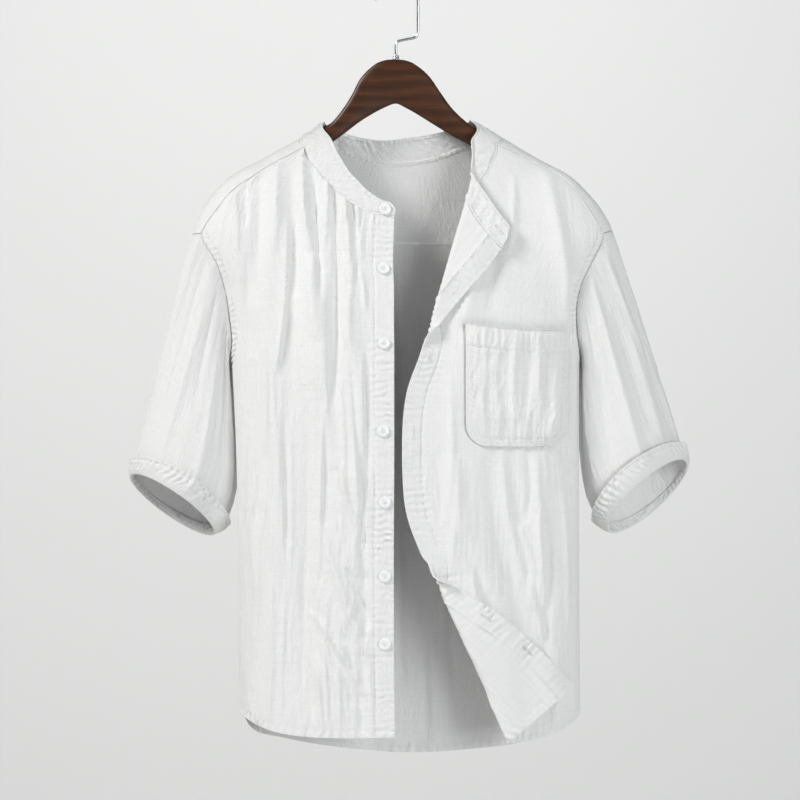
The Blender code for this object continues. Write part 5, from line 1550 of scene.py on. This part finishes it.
def tubeAlong(name, route, radius, sides=18):
    # a round wire along a route, with domed ends
    route = np.array(route, float)
    last = len(route) - 1
    fine = []
    for index in range(last):
        before, after = route[max(index - 1, 0)], route[min(index + 2, last)]
        part = np.linspace(0, 1, 5)[:-1, None]
        fine.append(hermite(route[index], route[index + 1], (route[index + 1] - before) / 2,
                            (after - route[index]) / 2, part))
    fine = np.concatenate(fine + [route[-1:]])
    along = unit(np.gradient(fine, axis=0))
    side = np.array([0.0, 1.0, 0.0])
    other = np.cross(along, side)
    turn = np.linspace(0, 2 * math.pi, sides, endpoint=False)
    rings = (fine[:, None] + radius * (np.cos(turn)[None, :, None] * side
                                       + np.sin(turn)[None, :, None] * other[:, None]))
    caps = []
    for end, sign in ((0, -1), (-1, 1)):
        steps = np.radians([25, 50, 72, 86])
        cap = [fine[end] + along[end] * sign * radius * math.sin(a) * 0.9
               + (rings[end] - fine[end]) * math.cos(a) for a in steps]
        caps.append(np.array(cap))
    return loft(name, np.concatenate([caps[0][::-1], rings, caps[1]]))


def buildHook():
    radius = hanger["bendRadius"]
    centerX, centerZ = hanger["sideX"] - radius, hanger["wire"] / 2 - radius
    stem, side = hanger["stemX"], hanger["sideX"]
    foot = hanger["top"] + 2 * hanger["gap"] + hanger["ferruleHeight"] + 1.6
    route = [(stem, 0, foot), (stem, 0, -92), (stem, 0, -87), (stem + 1.4, 0, -83.6),
             (stem + 5, 0, -82), (side - 12, 0, -80.2), (side - 6, 0, -79), (side - 2, 0, -77),
             (side - 0.3, 0, -73), (side, 0, -68), (side, 0, -48)]
    for step in range(33):
        turn = math.pi * step / 32
        route.append((centerX + radius * math.cos(turn), 0, centerZ + radius * math.sin(turn)))
    route.append((centerX - radius, 0, centerZ - 6))
    route.append((centerX - radius, 0, centerZ - 11))
    wire = tubeAlong("hookWire", route, hanger["wire"] / 2)
    finishPiece(wire, "hook_wire")
    wire.data.materials.append(materials["steel"])
    r, h = hanger["ferruleRadius"], hanger["ferruleHeight"]
    profile = [(0, 0), (r, 0), (r, h * 0.3), (r * 0.9, h * 0.42), (r * 0.86, h * 0.55), (r * 0.9, h * 0.7),
               (r * 0.8, h * 0.95), (r * 0.5, h), (0, h)]
    mesh = latheMesh("hookFerrule", [(a * mm, b * mm) for a, b in profile], 32)
    mesh.shade_smooth()
    mesh.set_sharp_from_angle(angle=math.radians(40))
    ferrule = bpy.data.objects.new("hookFerrule", mesh)
    ferrule.location = Vector((hanger["stemX"], 0, hanger["top"] + hanger["gap"])) * mm
    bpy.context.collection.objects.link(ferrule)
    finishPiece(ferrule, "hook_ferrule")
    mesh.materials.append(materials["steel"])


buildHanger()
buildHook()
print("hanger made")


# ---- stage, light and camera
studio = {
    "floorHeight": -2.45, "backdropDistance": 5.0, "stageSize": 16.0, "stageColor": (0.74, 0.745, 0.735),
    "stageRoughness": 0.9, "washAimZ": -0.6,
    "skyColor": (0.96, 0.97, 1.0), "skyStrength": 0.26,
    "key": {"place": (-3.8, -2.0, 2.8), "size": 1.3, "power": 234.0, "color": (1.0, 0.995, 0.98)},
    "fill": {"place": (2.6, -3.3, -0.3), "size": 2.2, "power": 90.0, "color": (0.97, 0.985, 1.0)},
    "wash": {"place": (0.0, 1.5, 1.6), "size": 3.0, "power": 78.0, "color": (1.0, 1.0, 1.0)},
    "aim": (0.0, 0.0, -0.5),
}
camera = {"distance": 3.4, "centerX": 0.0035, "centerZ": -0.4988, "frameWidth": 0.928, "sensor": 36.0,
          "clipEnd": 60.0}


def areaLight(name, values, target):
    data = bpy.data.lights.new(name, "AREA")
    data.energy = values["power"]
    data.size = values["size"]
    data.color = values["color"]
    lamp = bpy.data.objects.new(name, data)
    lamp.location = values["place"]
    lamp.rotation_mode = "QUATERNION"
    lamp.rotation_quaternion = (Vector(target) - Vector(values["place"])).to_track_quat("-Z", "Y")
    bpy.context.collection.objects.link(lamp)


def buildStudio():
    paint = newMaterial("stagePaint", studio["stageColor"], studio["stageRoughness"])[0]
    half, floor, wall = studio["stageSize"] / 2, studio["floorHeight"], studio["backdropDistance"]
    mesh = bpy.data.meshes.new("stage")
    mesh.from_pydata([(-half, -half, floor), (half, -half, floor), (half, wall, floor), (-half, wall, floor),
                      (half, wall, floor + half), (-half, wall, floor + half)], [],
                     [(0, 1, 2, 3), (3, 2, 4, 5)])
    mesh.materials.append(paint)
    stage = bpy.data.objects.new("stage", mesh)
    bpy.context.collection.objects.link(stage)
    world = bpy.data.worlds.new("softSky")
    bpy.context.scene.world = world
    world.use_nodes = True
    sky = world.node_tree.nodes["Background"]
    sky.inputs["Color"].default_value = (*studio["skyColor"], 1.0)
    sky.inputs["Strength"].default_value = studio["skyStrength"]
    areaLight("keyLight", studio["key"], studio["aim"])
    areaLight("fillLight", studio["fill"], studio["aim"])
    areaLight("washLight", studio["wash"], (0.0, studio["backdropDistance"], studio["washAimZ"]))
    data = bpy.data.cameras.new("camera")
    data.sensor_width = camera["sensor"]
    data.lens = camera["sensor"] * camera["distance"] / camera["frameWidth"]
    data.clip_end = camera["clipEnd"]
    lens = bpy.data.objects.new("camera", data)
    lens.location = (camera["centerX"], -camera["distance"], camera["centerZ"])
    lens.rotation_euler = (math.pi / 2, 0, 0)
    bpy.context.collection.objects.link(lens)
    bpy.context.scene.camera = lens
    bpy.context.scene.view_settings.view_transform = "Standard"


buildStudio()
print("studio set")

bpy.context.view_layer.update()
